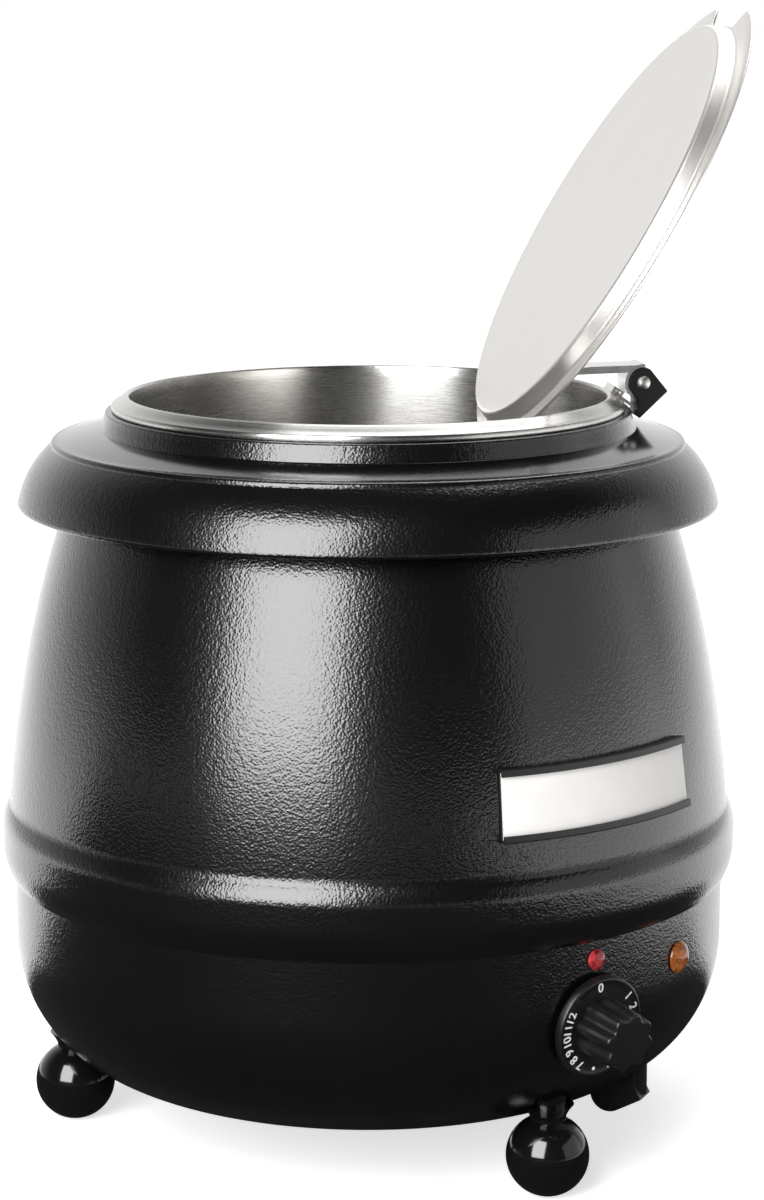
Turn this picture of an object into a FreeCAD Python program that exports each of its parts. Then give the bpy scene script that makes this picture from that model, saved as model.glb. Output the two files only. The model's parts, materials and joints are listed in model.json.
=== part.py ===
import FreeCAD, Part
import math
import os

# Wet-heat soup kettle with a lift-out inset pot and a lid on a rim hinge.
# Millimetres. +Z is up, the floor is z = 0 and the Z axis is the axis of the kettle.
# The front, with the control knob, faces -Y. Azimuths run from the front towards +X.

V = FreeCAD.Vector
UP = V(0, 0, 1)

# Radii, from the pot outwards
POT_R = 109.0
POT_WALL = 1.2
NECK_GAP = 2.3
NECK_WALL = 9.5
WELL_GAP = 5.5
WELL_WALL = 1.5
SEAT_W = 17.0
SHELL_FLARE = 30.1
SHELL_BULGE = 5.0
BELT_STEP = 3.4
BOWL_STEP = 2.0
COLLAR_OVERHANG = 23.9
WALL = 1.2

# Heights, from the floor up
BOWL_BOTTOM_Z = 29.0
BOWL_CORNER_H = 65.0
BOWL_CORNER_W = 64.6
BOWL_FULLNESS = 0.8
BOWL_SKIRT_H = 27.5
BOWL_TUCK = 23.0
BELT_H = 33.5
BELT_LIP = 0.6
BELT_LOW_DIP = 1.4
BELT_HIGH_DIP = 0.9
SHELL_H = 145.0
COLLAR_DROP = 7.5
COLLAR_H = 27.0
COLLAR_WALL = 1.6
COLLAR_HEM = 1.5
COLLAR_EDGE = 8.5
COLLAR_DIP = 5.6
COLLAR_DIP_H = 16.0
SHOULDER_W = 5.5
SHOULDER_H = 6.2
SHOULDER_FALL = 0.8
NECK_H = 8.2
NECK_ROUND = 1.5
NECK_TAPER = 0.4
WELL_FLOOR_Z = 104.0
POT_FLOOR_RISE = 8.0
POT_CORNER_R = 20.0
FLANGE_W = 8.2
FLANGE_H = 6.6
FLANGE_HEM_H = 2.9
FLANGE_HEM_IN = 0.9
MOUTH_ROUND = 0.5

# Fits
SEAT_FIT = 0.3
PIN_FIT = 0.05

# Feet
FOOT_R = 18.5
FOOT_INSET = 25.9
FOOT_AZ = -1.8
FOOT_COUNT = 3
FOOT_FLAT = 0.4
FOOT_NECK = 8.0
STUD_R = 3.0
STUD_IN_FOOT = 12.0
NUT_R = 5.6
NUT_H = 5.0
THREAD_OVER = 2.0

# Control knob and thermostat
KNOB_Z = 84.0
KNOB_TILT = 6.0
SKIRT_R = 23.0
SKIRT_H = 4.0
SKIRT_GAP = 1.0
GRIP_R = 13.5
GRIP_H = 22.0
GRIP_TAPER = 1.2
SKIRT_TAPER = 1.5
FLUTE_COUNT = 10
FLUTE_R = 2.4
SHAFT_R = 3.0
SHAFT_IN_KNOB = 16.0
SHAFT_IN_BODY = 12.0
BUSH_R = 5.0
BUSH_NUT_W = 2.8
THERMOSTAT_W = 32.0
THERMOSTAT_H = 30.0
THERMOSTAT_DEPTH = 34.0
THERMOSTAT_SETBACK = 7.5

# Lamps
RED_AZ = 0.0
RED_Z = 113.0
RED_R = 3.4
AMBER_AZ = 20.0
AMBER_Z = 101.7
AMBER_R = 6.0
LAMP_BODY_LENGTH = 20.0
BEZEL_LIP = 1.2
BEZEL_H = 0.8
DOME_SHARE = 0.6
LAMP_TAB_L = 6.0
LAMP_TAB = 0.8

# Sign holder
SIGN_AZ = 1.6
SIGN_SPAN = 36.8
SIGN_LOW_Z = 170.8
SIGN_H = 31.2
SIGN_BACK = 1.2
SIGN_LIP = 3.2
SIGN_PLATE = 1.4

# Heater under the well
ELEMENT_INSET = 33.0
ELEMENT_TUBE_R = 4.0
ELEMENT_GAP_DEG = 40.0
CLAMP_PLATE = 2.0
CLAMP_MARGIN = 7.0
CLAMP_WEB = 45.0
TIE_INSET = 25.0
TIE_COUNT = 3
TIE_END_Z = 20.0
CUTOUT_R = 12.0
CUTOUT_H = 8.0
BASE_RIM_W = 16.0
BASE_LAP = 10.0
BASE_PLATE = 2.0
TERMINAL_L = 40.0
TERMINAL_W = 20.0
TERMINAL_H = 16.0
TERMINAL_Y = 48.0

# Cord gland under the bowl
GLAND_AZ = 29.5
GLAND_INSET = 30.6
GLAND_Z = 26.0
GLAND_R = 8.7
GLAND_L = 22.0
GLAND_T = 13.0
GLAND_TILT = 29.0
GLAND_BORE_R = 4.0

# Lid and rim hinge, in the plane of the hinge: s outwards from the axis, z up
HINGE_AZ = 62.0
LID_LAP = 5.0
LID_SHIFT = 7.7
LID_SHEET = 1.2
LID_EDGE_ROUND = 0.4
LID_LIFT = 0.4
LID_RING_W = 14.0
LID_PANEL_DROP = 7.0
LID_PANEL_SLOPE = 3.5
NOTCH_W = 52.0
NOTCH_DEPTH = 12.5
NOTCH_CORNER_R = 9.0
LID_OPEN = 120.4
PIVOT_INSET = 35.0
PIVOT_RISE = 4.6
PIVOT_PIN_R = 2.0
KNUCKLE_R = 3.6
LEAF_KNUCKLE = 12.0
LEAF_W = 22.0
LEAF_L = 24.0
LEAF_SHEET = 1.5
BOLT_REACH = 5.0
BOLT_RISE = 3.2
BOLT_R = 2.5
BOLT_HEAD_R = 4.6
BOLT_HEAD_H = 3.0
BLOCK_W = 16.0
BLOCK_EYE_R = 8.5
BLOCK_REACH = 12.3
BLOCK_DROP = 15.8
BLOCK_TOE = 2.0
BLOCK_HEEL = 4.9
STRAP_SHEET = 1.5
CURL_GAP = 0.6
CURL_FROM_DEG = 80.0
CURL_TO_DEG = 208.0
STRAP_MEETS_DEG = 122.0
EAR_R = 5.2
PIN_END = 0.5
KNUCKLE_GAP = 0.8
CLIP_W = 18.0
CLIP_SHEET = 1.4
RIVET_R = 1.5
RIVET_HEAD_R = 2.6
RIVET_PITCH = 10.0
RIVET_HEAD_H = 1.1
RIVET_NIP = 0.1
CLIP_LAP = 1.2

# Worked-out radii
neck_in = POT_R + POT_WALL + NECK_GAP
neck_out = neck_in + NECK_WALL
well_r = neck_in + WELL_GAP
shell_top_r = well_r + WELL_WALL + SEAT_W
shell_low_r = shell_top_r + SHELL_FLARE
belt_r = shell_low_r + BELT_STEP
bowl_r = shell_low_r - BOWL_STEP
collar_r = shell_top_r + COLLAR_OVERHANG
foot_circle_r = bowl_r - FOOT_INSET
gland_s = bowl_r - GLAND_INSET
base_hole_r = bowl_r - BOWL_CORNER_W - BASE_RIM_W
element_r = well_r - ELEMENT_INSET
tie_circle_r = element_r - TIE_INSET
lid_r = POT_R + LID_LAP
pivot_s = POT_R - PIVOT_INSET
bolt_s = neck_out + BOLT_REACH

# Worked-out heights
corner_z = BOWL_BOTTOM_Z + BOWL_CORNER_H
belt_low_z = corner_z + BOWL_SKIRT_H
bowl_top_z = belt_low_z + BOWL_TUCK
belt_top_z = belt_low_z + BELT_H
shell_top_z = belt_top_z + SHELL_H
collar_low_z = shell_top_z - COLLAR_DROP
collar_top_z = shell_top_z + COLLAR_H
neck_top_z = collar_top_z + NECK_H
flange_low_z = neck_top_z + SEAT_FIT
flange_top_z = flange_low_z + FLANGE_H
pot_floor_z = WELL_FLOOR_Z + POT_FLOOR_RISE
well_under_z = WELL_FLOOR_Z - WELL_WALL
flange_r = POT_R + FLANGE_W
pivot_z = flange_top_z + PIVOT_RISE
bolt_z = flange_top_z + BOLT_RISE


def point(r, z):
    return V(r, 0, z)


def outline(start, *steps):
    """A closed face in the radial plane: a step is an end point, or a middle and an end point for an arc."""
    edges = []
    here = point(*start)
    for step in steps:
        if isinstance(step[0], tuple):
            end = point(*step[1])
            edges.append(Part.Arc(here, point(*step[0]), end).toShape())
        else:
            end = point(*step)
            edges.append(Part.makeLine(here, end))
        here = end
    edges.append(Part.makeLine(here, point(*start)))
    return Part.Face(Part.Wire(edges))


def spin(face, angle=360.0):
    return face.revolve(V(0, 0, 0), UP, angle)


def at_azimuth(shape, az):
    """Turns a shape built with +X outwards so that it faces the azimuth."""
    turned = shape.copy()
    turned.rotate(V(0, 0, 0), UP, az - 90.0)
    return turned


def rod(r, low, high, x=0.0, y=0.0):
    return Part.makeCylinder(r, high - low, V(x, y, low))


def cross_rod(r, s, z, low, high):
    """A rod along the hinge's own axis, which is +Y in the hinge's plane."""
    return Part.makeCylinder(r, high - low, V(s, low, z), V(0, 1, 0))


def hexagon(r, low, high, x=0.0, y=0.0):
    corners = [V(x + r * math.cos(math.radians(60 * i)), y + r * math.sin(math.radians(60 * i)), low)
               for i in range(6)]
    face = Part.Face(Part.makePolygon(corners + corners[:1]))
    return face.extrude(V(0, 0, high - low))


def plate_across(points, width):
    """A flat outline in the hinge's plane, given its width across that plane."""
    corners = [V(s, -width / 2, z) for s, z in points]
    return Part.Face(Part.makePolygon(corners + corners[:1])).extrude(V(0, width, 0))


def ring_places(count, radius, first_az=0.0):
    places = []
    for i in range(count):
        az = math.radians(first_az + 360.0 * i / count)
        places.append((radius * math.sin(az), -radius * math.cos(az)))
    return places


def one(shape):
    """The shape's own solid, with split faces joined."""
    clean = shape.removeSplitter()
    return clean.Solids[0] if len(clean.Solids) == 1 else clean


# The shell's wall is an arc through its foot, a bulged middle and its top.
shell_low = (shell_low_r, belt_top_z)
shell_mid = ((shell_low_r + shell_top_r) / 2 + SHELL_BULGE, (belt_top_z + shell_top_z) / 2)
shell_top = (shell_top_r, shell_top_z)


def inwards(place, step):
    return (place[0] - step, place[1])


def shell_radius(z):
    """Outer radius of the shell's arc at a height."""
    circle = Part.Arc(point(*shell_low), point(*shell_mid), point(*shell_top)).toShape().Curve
    rise = z - circle.Center.z
    return circle.Center.x + math.sqrt(circle.Radius ** 2 - rise ** 2)


def body_shell():
    lip_in = well_r + WELL_WALL + WALL
    belt_round = BELT_H / 5
    sleeve_r = bowl_r + SEAT_FIT
    profile = outline(
        (sleeve_r, belt_low_z), (sleeve_r + BELT_LIP, belt_low_z),
        ((belt_r - BELT_LOW_DIP, belt_low_z + 0.9 * belt_round), (belt_r, belt_low_z + 2 * belt_round)),
        (belt_r, belt_top_z - 1.4 * belt_round),
        ((belt_r - BELT_HIGH_DIP, belt_top_z - 0.7 * belt_round), shell_low),
        (shell_mid, shell_top),
        (lip_in, shell_top_z), (lip_in, shell_top_z - WALL), inwards((shell_top_r, shell_top_z - WALL), WALL),
        (inwards(shell_mid, WALL), inwards(shell_low, WALL)),
        (sleeve_r, belt_top_z - WALL))
    return spin(profile)


def bowl_corner(inset):
    """The bowl's lower corner as a conic arc, set in from the outside by the wall."""
    curve = Part.BezierCurve()
    curve.setPoles([point(bowl_r - inset, corner_z), point(bowl_r - inset, BOWL_BOTTOM_Z + inset),
                    point(bowl_r - BOWL_CORNER_W, BOWL_BOTTOM_Z + inset)])
    curve.setWeight(2, BOWL_FULLNESS)
    return curve.toShape()


def bowl_solid():
    """The bowl's outside, filled, for seating what is fixed to it."""
    edges = [Part.makeLine(point(0, bowl_top_z), point(bowl_r, bowl_top_z)),
             Part.makeLine(point(bowl_r, bowl_top_z), point(bowl_r, corner_z)), bowl_corner(0.0),
             Part.makeLine(point(bowl_r - BOWL_CORNER_W, BOWL_BOTTOM_Z), point(0, BOWL_BOTTOM_Z)),
             Part.makeLine(point(0, BOWL_BOTTOM_Z), point(0, bowl_top_z))]
    return spin(Part.Face(Part.Wire(edges)))


def bowl_floor_z(r):
    """Height of the bowl's inside, in its lower corner, at a radius."""
    line = Part.makeLine(point(r, 0), point(r, corner_z))
    return bowl_corner(WALL).distToShape(line)[1][0][0].z


foot_z = FOOT_R - FOOT_FLAT
foot_seat_z = foot_z + math.sqrt(FOOT_R ** 2 - FOOT_NECK ** 2)
boss_top_z = bowl_floor_z(foot_circle_r + NUT_R + SEAT_FIT) + SEAT_FIT
foot_places = ring_places(FOOT_COUNT, foot_circle_r, FOOT_AZ)
tie_places = ring_places(TIE_COUNT, tie_circle_r)


def knob_place(shape):
    """Puts a shape built along +Z from the wall onto the knob's axis."""
    placed = shape.copy()
    placed.rotate(V(0, 0, 0), V(0, 1, 0), 90.0 + KNOB_TILT)
    placed.translate(V(knob_wall_r, 0, KNOB_Z))
    return at_azimuth(placed, 0.0)


def wall_radius(z):
    """Outer radius of the bowl at a height."""
    if z >= corner_z:
        return bowl_r
    line = Part.makeLine(point(0, z), point(2 * bowl_r, z))
    return bowl_corner(0.0).distToShape(line)[1][0][0].x


knob_wall_r = wall_radius(KNOB_Z)


def lamp_bore(az, z, r):
    low = bowl_r - LAMP_BODY_LENGTH
    bore = Part.makeCylinder(r, LAMP_BODY_LENGTH + 2 * WALL, V(low, 0, z), V(1, 0, 0))
    return at_azimuth(bore, az)


def gland_outline():
    """Side outline of the gland: square at the outer end, round at the inner one."""
    half = GLAND_R
    back = GLAND_L - GLAND_R
    body = Part.makeBox(back, GLAND_T, 2 * half, V(0, -GLAND_T / 2, -half))
    body = body.fuse(Part.makeCylinder(half, GLAND_T, V(0, -GLAND_T / 2, 0), V(0, 1, 0)))
    body.rotate(V(0, 0, 0), V(0, 1, 0), -GLAND_TILT)
    body.translate(V(gland_s - GLAND_L / 2, 0, GLAND_Z))
    neck = rod(GLAND_BORE_R + WALL, GLAND_Z, corner_z, gland_s, 0)
    return body.fuse(neck)


def base_bowl():
    edges = [Part.makeLine(point(bowl_r, bowl_top_z), point(bowl_r, corner_z)), bowl_corner(0.0),
             Part.makeLine(point(bowl_r - BOWL_CORNER_W, BOWL_BOTTOM_Z), point(base_hole_r, BOWL_BOTTOM_Z)),
             Part.makeLine(point(base_hole_r, BOWL_BOTTOM_Z), point(base_hole_r, BOWL_BOTTOM_Z + WALL)),
             Part.makeLine(point(base_hole_r, BOWL_BOTTOM_Z + WALL),
                           point(bowl_r - BOWL_CORNER_W, BOWL_BOTTOM_Z + WALL)),
             bowl_corner(WALL),
             Part.makeLine(point(bowl_r - WALL, corner_z), point(bowl_r - WALL, bowl_top_z)),
             Part.makeLine(point(bowl_r - WALL, bowl_top_z), point(bowl_r, bowl_top_z))]
    bowl = spin(Part.Face(Part.Wire(Part.__sortEdges__(edges))))
    for x, y in foot_places:
        bowl = bowl.fuse(rod(FOOT_NECK, foot_seat_z, boss_top_z, x, y))
    for x, y in foot_places:
        bowl = bowl.cut(rod(STUD_R + PIN_FIT, 0, corner_z, x, y))
    bowl = bowl.cut(knob_place(rod(BUSH_R + PIN_FIT, -4 * WALL, 4 * WALL)))
    bowl = bowl.cut(lamp_bore(RED_AZ, RED_Z, RED_R + PIN_FIT))
    bowl = bowl.cut(lamp_bore(AMBER_AZ, AMBER_Z, AMBER_R + PIN_FIT))
    gland_way = rod(GLAND_BORE_R, GLAND_Z, corner_z, gland_s, 0)
    return one(bowl.cut(at_azimuth(gland_way, GLAND_AZ)))


def top_collar():
    edge_r = shell_top_r + COLLAR_EDGE
    edge_z = collar_top_z - SHOULDER_H
    dip = (collar_r - COLLAR_DIP, collar_low_z + COLLAR_DIP_H)
    shoulder = (edge_r - SHOULDER_W, collar_top_z - SHOULDER_FALL)
    shoulder_mid = (edge_r - SHOULDER_W / 4, collar_top_z - 0.42 * SHOULDER_H)
    hem_r = collar_r - COLLAR_HEM
    neck_r = neck_out - NECK_TAPER
    seat_r = neck_in + COLLAR_WALL
    seat_z = collar_top_z - 3 * COLLAR_WALL
    profile = outline(
        (neck_in, seat_z), (neck_in, neck_top_z), (neck_out - NECK_ROUND, neck_top_z),
        ((neck_out, neck_top_z - NECK_ROUND), (neck_r, neck_top_z - 0.7 * NECK_H)),
        (neck_r, collar_top_z), shoulder, (shoulder_mid, (edge_r, edge_z)),
        (dip, (collar_r, collar_low_z + COLLAR_HEM)),
        ((collar_r - 0.4 * COLLAR_HEM, collar_low_z + 0.2 * COLLAR_HEM), (hem_r, collar_low_z)),
        (hem_r - COLLAR_WALL, collar_low_z),
        ((dip[0] - COLLAR_WALL, dip[1] - COLLAR_WALL / 2), (edge_r - COLLAR_WALL, edge_z - COLLAR_WALL)),
        (shoulder[0] - COLLAR_WALL, shoulder[1] - COLLAR_WALL), (seat_r, collar_top_z - COLLAR_WALL),
        (seat_r, seat_z))
    rib_r = well_r + WELL_WALL + SEAT_W / 2
    rib_low = shell_top_z + WELL_WALL
    rib_high = collar_top_z - COLLAR_WALL / 2
    rib = outline((rib_r, rib_low), (rib_r + COLLAR_WALL, rib_low), (rib_r + COLLAR_WALL, rib_high),
                  (rib_r, rib_high))
    return one(spin(profile).fuse(spin(rib)))


def water_well():
    corner = POT_CORNER_R
    slant = corner * (1 - math.sqrt(0.5))
    low = well_under_z
    top = shell_top_z + WELL_WALL
    seat_r = shell_top_r - WALL
    profile = outline(
        (0, low), (well_r - corner, low),
        ((well_r + WELL_WALL - slant, low + slant), (well_r + WELL_WALL, low + corner)),
        (well_r + WELL_WALL, shell_top_z), (seat_r, shell_top_z), (seat_r, top),
        (well_r, top), (well_r, low + corner),
        ((well_r - slant, WELL_FLOOR_Z + slant), (well_r - corner, WELL_FLOOR_Z)),
        (0, WELL_FLOOR_Z))
    return spin(profile)


def heating_element():
    ring_z = well_under_z - ELEMENT_TUBE_R - SEAT_FIT
    section = Part.Face(Part.Wire(Part.makeCircle(ELEMENT_TUBE_R, point(element_r, ring_z), V(0, 1, 0))))
    ring = spin(section, 360.0 - ELEMENT_GAP_DEG)
    return at_azimuth(ring, 90.0 + ELEMENT_GAP_DEG / 2)


clamp_top_z = well_under_z - 2 * ELEMENT_TUBE_R - 2 * SEAT_FIT


def element_clamp():
    low = clamp_top_z - CLAMP_PLATE
    plate = rod(element_r + CLAMP_MARGIN, low, clamp_top_z).cut(rod(element_r - CLAMP_WEB, low, clamp_top_z))
    for x, y in tie_places:
        plate = plate.cut(rod(STUD_R + PIN_FIT, low, clamp_top_z, x, y))
    return plate


def nut(low, x, y):
    return hexagon(NUT_R, low, low + NUT_H, x, y).cut(rod(STUD_R + PIN_FIT, low, low + NUT_H, x, y))


def base_plate():
    low = BOWL_BOTTOM_Z - BASE_PLATE
    plate = rod(base_hole_r + BASE_LAP, low, BOWL_BOTTOM_Z)
    for x, y in tie_places:
        plate = plate.cut(rod(STUD_R + PIN_FIT, low, BOWL_BOTTOM_Z, x, y))
    return plate


def terminal_block():
    block = Part.makeBox(TERMINAL_L, TERMINAL_W, TERMINAL_H,
                         V(-TERMINAL_L / 2, TERMINAL_Y - TERMINAL_W / 2, BOWL_BOTTOM_Z))
    pole = TERMINAL_L / 3
    for i in range(3):
        well = rod(pole / 3, BOWL_BOTTOM_Z + TERMINAL_H / 2, BOWL_BOTTOM_Z + TERMINAL_H,
                   (i - 1) * pole, TERMINAL_Y)
        block = block.cut(well)
    return block


def foot(x, y):
    ball = Part.makeSphere(FOOT_R, V(x, y, foot_z))
    ball = ball.common(rod(2 * FOOT_R, 0, foot_seat_z, x, y))
    return ball.cut(rod(STUD_R + PIN_FIT, foot_seat_z - STUD_IN_FOOT, foot_seat_z, x, y))


def knob():
    back = SKIRT_GAP
    face = back + SKIRT_H
    skirt = Part.makeCone(SKIRT_R, SKIRT_R - SKIRT_TAPER, SKIRT_H, V(0, 0, back))
    grip = Part.makeCone(GRIP_R, GRIP_R - GRIP_TAPER, GRIP_H, V(0, 0, face))
    for i in range(FLUTE_COUNT):
        angle = math.radians(360.0 * i / FLUTE_COUNT)
        reach = GRIP_R + FLUTE_R / 3
        groove = rod(FLUTE_R, face, face + GRIP_H, reach * math.cos(angle), reach * math.sin(angle))
        grip = grip.cut(groove)
    body = skirt.fuse(grip)
    body = body.cut(rod(BUSH_R + BUSH_NUT_W + SKIRT_GAP, back, face))
    return one(body.cut(rod(SHAFT_R, back, back + SHAFT_IN_KNOB)))


def thermostat_shaft():
    return rod(SHAFT_R, -THERMOSTAT_SETBACK - SHAFT_IN_BODY, SKIRT_GAP + SHAFT_IN_KNOB)


def thermostat_body():
    front = -THERMOSTAT_SETBACK
    body = Part.makeBox(THERMOSTAT_H, THERMOSTAT_W, THERMOSTAT_DEPTH,
                        V(-THERMOSTAT_H / 2, -THERMOSTAT_W / 2, front - THERMOSTAT_DEPTH))
    bush = rod(BUSH_R, front - SKIRT_GAP, SKIRT_H)
    bore = rod(SHAFT_R + PIN_FIT, front - SHAFT_IN_BODY - SEAT_FIT, SKIRT_GAP + SKIRT_H)
    return one(body.fuse(bush).cut(bore))


def thermostat_nut():
    high = SKIRT_H - SKIRT_GAP / 2
    ring = hexagon(BUSH_R + BUSH_NUT_W, SEAT_FIT, high)
    return ring.cut(rod(BUSH_R + PIN_FIT, 0, high))


def lamp_lens(az, z, r):
    """A domed lens on the wall, with the step that locates it in its hole."""
    lip = r + BEZEL_LIP
    rim = BEZEL_H
    dome_h = DOME_SHARE * r
    ball_r = (lip ** 2 + dome_h ** 2) / (2 * dome_h)
    half = math.asin(lip / ball_r) / 2
    mid = (ball_r * math.sin(half), rim + dome_h - ball_r * (1 - math.cos(half)))
    profile = outline((0, -WALL / 2), (r, -WALL / 2), (r, 0), (lip, 0), (lip, rim), (mid, (0, rim + dome_h)))
    lens = spin(profile)
    lens.rotate(V(0, 0, 0), V(0, 1, 0), 90.0)
    lens.translate(V(wall_radius(z) + SEAT_FIT / 2, 0, z))
    return at_azimuth(lens, az)


def lamp_body(az, z, r):
    high = wall_radius(z) - WALL / 2 - SEAT_FIT
    low = high - LAMP_BODY_LENGTH
    barrel = Part.makeCylinder(r, LAMP_BODY_LENGTH, V(low, 0, z), V(1, 0, 0))
    for side in (-1, 1):
        corner = V(low - LAMP_TAB_L, side * r / 2 - LAMP_TAB / 2, z - r / 2)
        tab = Part.makeBox(LAMP_TAB_L, LAMP_TAB, r, corner)
        barrel = barrel.fuse(tab)
    return at_azimuth(one(barrel), az)


def on_sign(along, out):
    """A place on the sign holder: along the wall's slope from its low edge, and out from the wall."""
    high_z = SIGN_LOW_Z + SIGN_H
    low_r = shell_radius(SIGN_LOW_Z) + SEAT_FIT
    high_r = shell_radius(high_z) + SEAT_FIT
    length = math.hypot(high_r - low_r, SIGN_H)
    du = ((high_r - low_r) / length, SIGN_H / length)
    return (low_r + du[0] * along + du[1] * out, SIGN_LOW_Z + du[1] * along - du[0] * out)


def sign_sector(corners):
    face = outline(on_sign(*corners[0]), *[on_sign(*c) for c in corners[1:]])
    return at_azimuth(spin(face, SIGN_SPAN), SIGN_AZ - SIGN_SPAN / 2)


sign_slot = SIGN_PLATE + 2 * SEAT_FIT
sign_length = math.hypot(shell_radius(SIGN_LOW_Z + SIGN_H) - shell_radius(SIGN_LOW_Z), SIGN_H)


def sign_holder():
    deep = SIGN_BACK + sign_slot + SIGN_BACK
    back = SIGN_BACK
    slot = SIGN_BACK + sign_slot
    top = sign_length
    return sign_sector([(0, 0), (0, deep), (SIGN_LIP, deep), (SIGN_LIP, slot), (back, slot), (back, back),
                        (top - back, back), (top - back, slot), (top - SIGN_LIP, slot),
                        (top - SIGN_LIP, deep), (top, deep), (top, 0)])


def sign_plate():
    low = SIGN_BACK + SEAT_FIT
    near = SIGN_BACK + SEAT_FIT
    far = near + SIGN_PLATE
    high = sign_length - SIGN_BACK - SEAT_FIT
    return sign_sector([(low, near), (low, far), (high, far), (high, near)])


def cord_gland():
    gland = gland_outline().cut(bowl_solid())
    gland = at_azimuth(gland, GLAND_AZ)
    return one(gland)


def inset_pot():
    outer = POT_R + POT_WALL
    under = pot_floor_z - POT_WALL
    slant = POT_CORNER_R * (1 - math.sqrt(0.5))
    hem_z = flange_low_z + FLANGE_HEM_H
    profile = outline(
        (0, under), (outer - POT_CORNER_R, under),
        ((outer - slant, under + slant), (outer, under + POT_CORNER_R)),
        (outer, flange_top_z - 1.3 * POT_WALL), (flange_r - POT_WALL, hem_z - 1.3 * POT_WALL),
        (flange_r - POT_WALL, flange_low_z), (flange_r, flange_low_z), (flange_r, hem_z - POT_WALL),
        (flange_r - FLANGE_HEM_IN, hem_z), (outer + MOUTH_ROUND, flange_top_z),
        (POT_R + MOUTH_ROUND, flange_top_z), (POT_R, flange_top_z - MOUTH_ROUND),
        (POT_R, under + POT_CORNER_R),
        ((POT_R - slant, pot_floor_z + slant), (POT_R - POT_CORNER_R, pot_floor_z)),
        (0, pot_floor_z))
    pot = spin(profile)
    for rivet in rivet_shanks():
        pot = pot.cut(at_azimuth(rivet, HINGE_AZ))
    return one(pot)


# The clip lies on the flange's slope and then runs level over the collar's neck.
slope_from = POT_R + POT_WALL + MOUTH_ROUND
flange_slope = (FLANGE_H - FLANGE_HEM_H) / (flange_r - FLANGE_HEM_IN - slope_from)
clip_top_z = flange_top_z + SEAT_FIT
clip_foot = (slope_from + SEAT_FIT, clip_top_z)
clip_bend = (flange_r + POT_WALL, clip_top_z - flange_slope * (flange_r - slope_from + POT_WALL))
clip_end = (neck_out + CLIP_LAP, clip_bend[1])
rivet_s = (slope_from + flange_r - FLANGE_HEM_IN) / 2


rivet_grip = POT_WALL + RIVET_NIP + CLIP_SHEET + SEAT_FIT + RIVET_NIP


def rivet_axis():
    slope = math.atan(flange_slope)
    return V(math.sin(slope), 0, math.cos(slope))


def rivet_shanks():
    axis = rivet_axis()
    mid_z = flange_top_z - flange_slope * (rivet_s - slope_from)
    shanks = []
    for side in (-1, 1):
        start = V(rivet_s, side * RIVET_PITCH / 2, mid_z) - axis * (POT_WALL + RIVET_NIP)
        shanks.append(Part.makeCylinder(RIVET_R, rivet_grip + RIVET_HEAD_H / 2, start, axis))
    return shanks


def rim_clip():
    strip = [clip_foot, clip_bend, clip_end]
    upper = [(s, z + CLIP_SHEET) for s, z in reversed(strip)]
    clip = plate_across(strip + upper, CLIP_W)
    for shank in rivet_shanks():
        clip = clip.cut(shank)
    return clip


def clip_rivets():
    axis = rivet_axis()
    rivets = []
    for shank in rivet_shanks():
        head_at = shank.Faces[0].Surface.Center + axis * rivet_grip
        head = Part.makeCone(RIVET_HEAD_R, 0.6 * RIVET_HEAD_R, RIVET_HEAD_H, head_at, axis)
        rivets.append(one(shank.fuse(head)))
    return Part.makeCompound(rivets)


def hinge_block():
    seat_z = clip_end[1] + CLIP_SHEET + RIVET_NIP
    seat_in = clip_bend[0] + CLIP_LAP
    seat_out = clip_end[0] + RIVET_NIP
    eye = cross_rod(BLOCK_EYE_R, bolt_s, bolt_z, -BLOCK_W / 2, BLOCK_W / 2)
    body = plate_across([(bolt_s, bolt_z + BLOCK_EYE_R),
                         (bolt_s + 0.7 * BLOCK_EYE_R, bolt_z + 0.7 * BLOCK_EYE_R),
                         (bolt_s + BLOCK_REACH, bolt_z - BLOCK_HEEL),
                         (bolt_s + BLOCK_TOE, bolt_z - BLOCK_DROP),
                         (seat_out, collar_top_z + NECK_H / 2), (seat_out, seat_z), (seat_in, seat_z),
                         (bolt_s - BLOCK_EYE_R, bolt_z)], BLOCK_W)
    block = eye.fuse(body)
    clear = BLOCK_EYE_R + BLOCK_REACH
    below = Part.makeBox(clear, BLOCK_W, clear, V(seat_out - clear, -BLOCK_W / 2, seat_z - clear))
    block = block.cut(below)
    return one(block.cut(cross_rod(BOLT_R + PIN_FIT, bolt_s, bolt_z, -BLOCK_W, BLOCK_W)))


ear_in = BLOCK_W / 2 + SEAT_FIT
ear_out = ear_in + STRAP_SHEET
strap_w = 2 * ear_out


def hinge_bolt():
    reach = ear_out + SEAT_FIT
    bolt = cross_rod(BOLT_R, bolt_s, bolt_z, -reach, reach)
    head = cross_rod(BOLT_HEAD_R, bolt_s, bolt_z, -reach - BOLT_HEAD_H, -reach)
    end = cross_rod(BOLT_HEAD_R, bolt_s, bolt_z, reach, reach + BOLT_HEAD_H)
    return one(bolt.fuse(head).fuse(end))


def around(r, degrees):
    """A place round the hinge bolt, by its distance and its angle above the outward line."""
    angle = math.radians(degrees)
    return (bolt_s + r * math.cos(angle), bolt_z + r * math.sin(angle))


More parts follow.
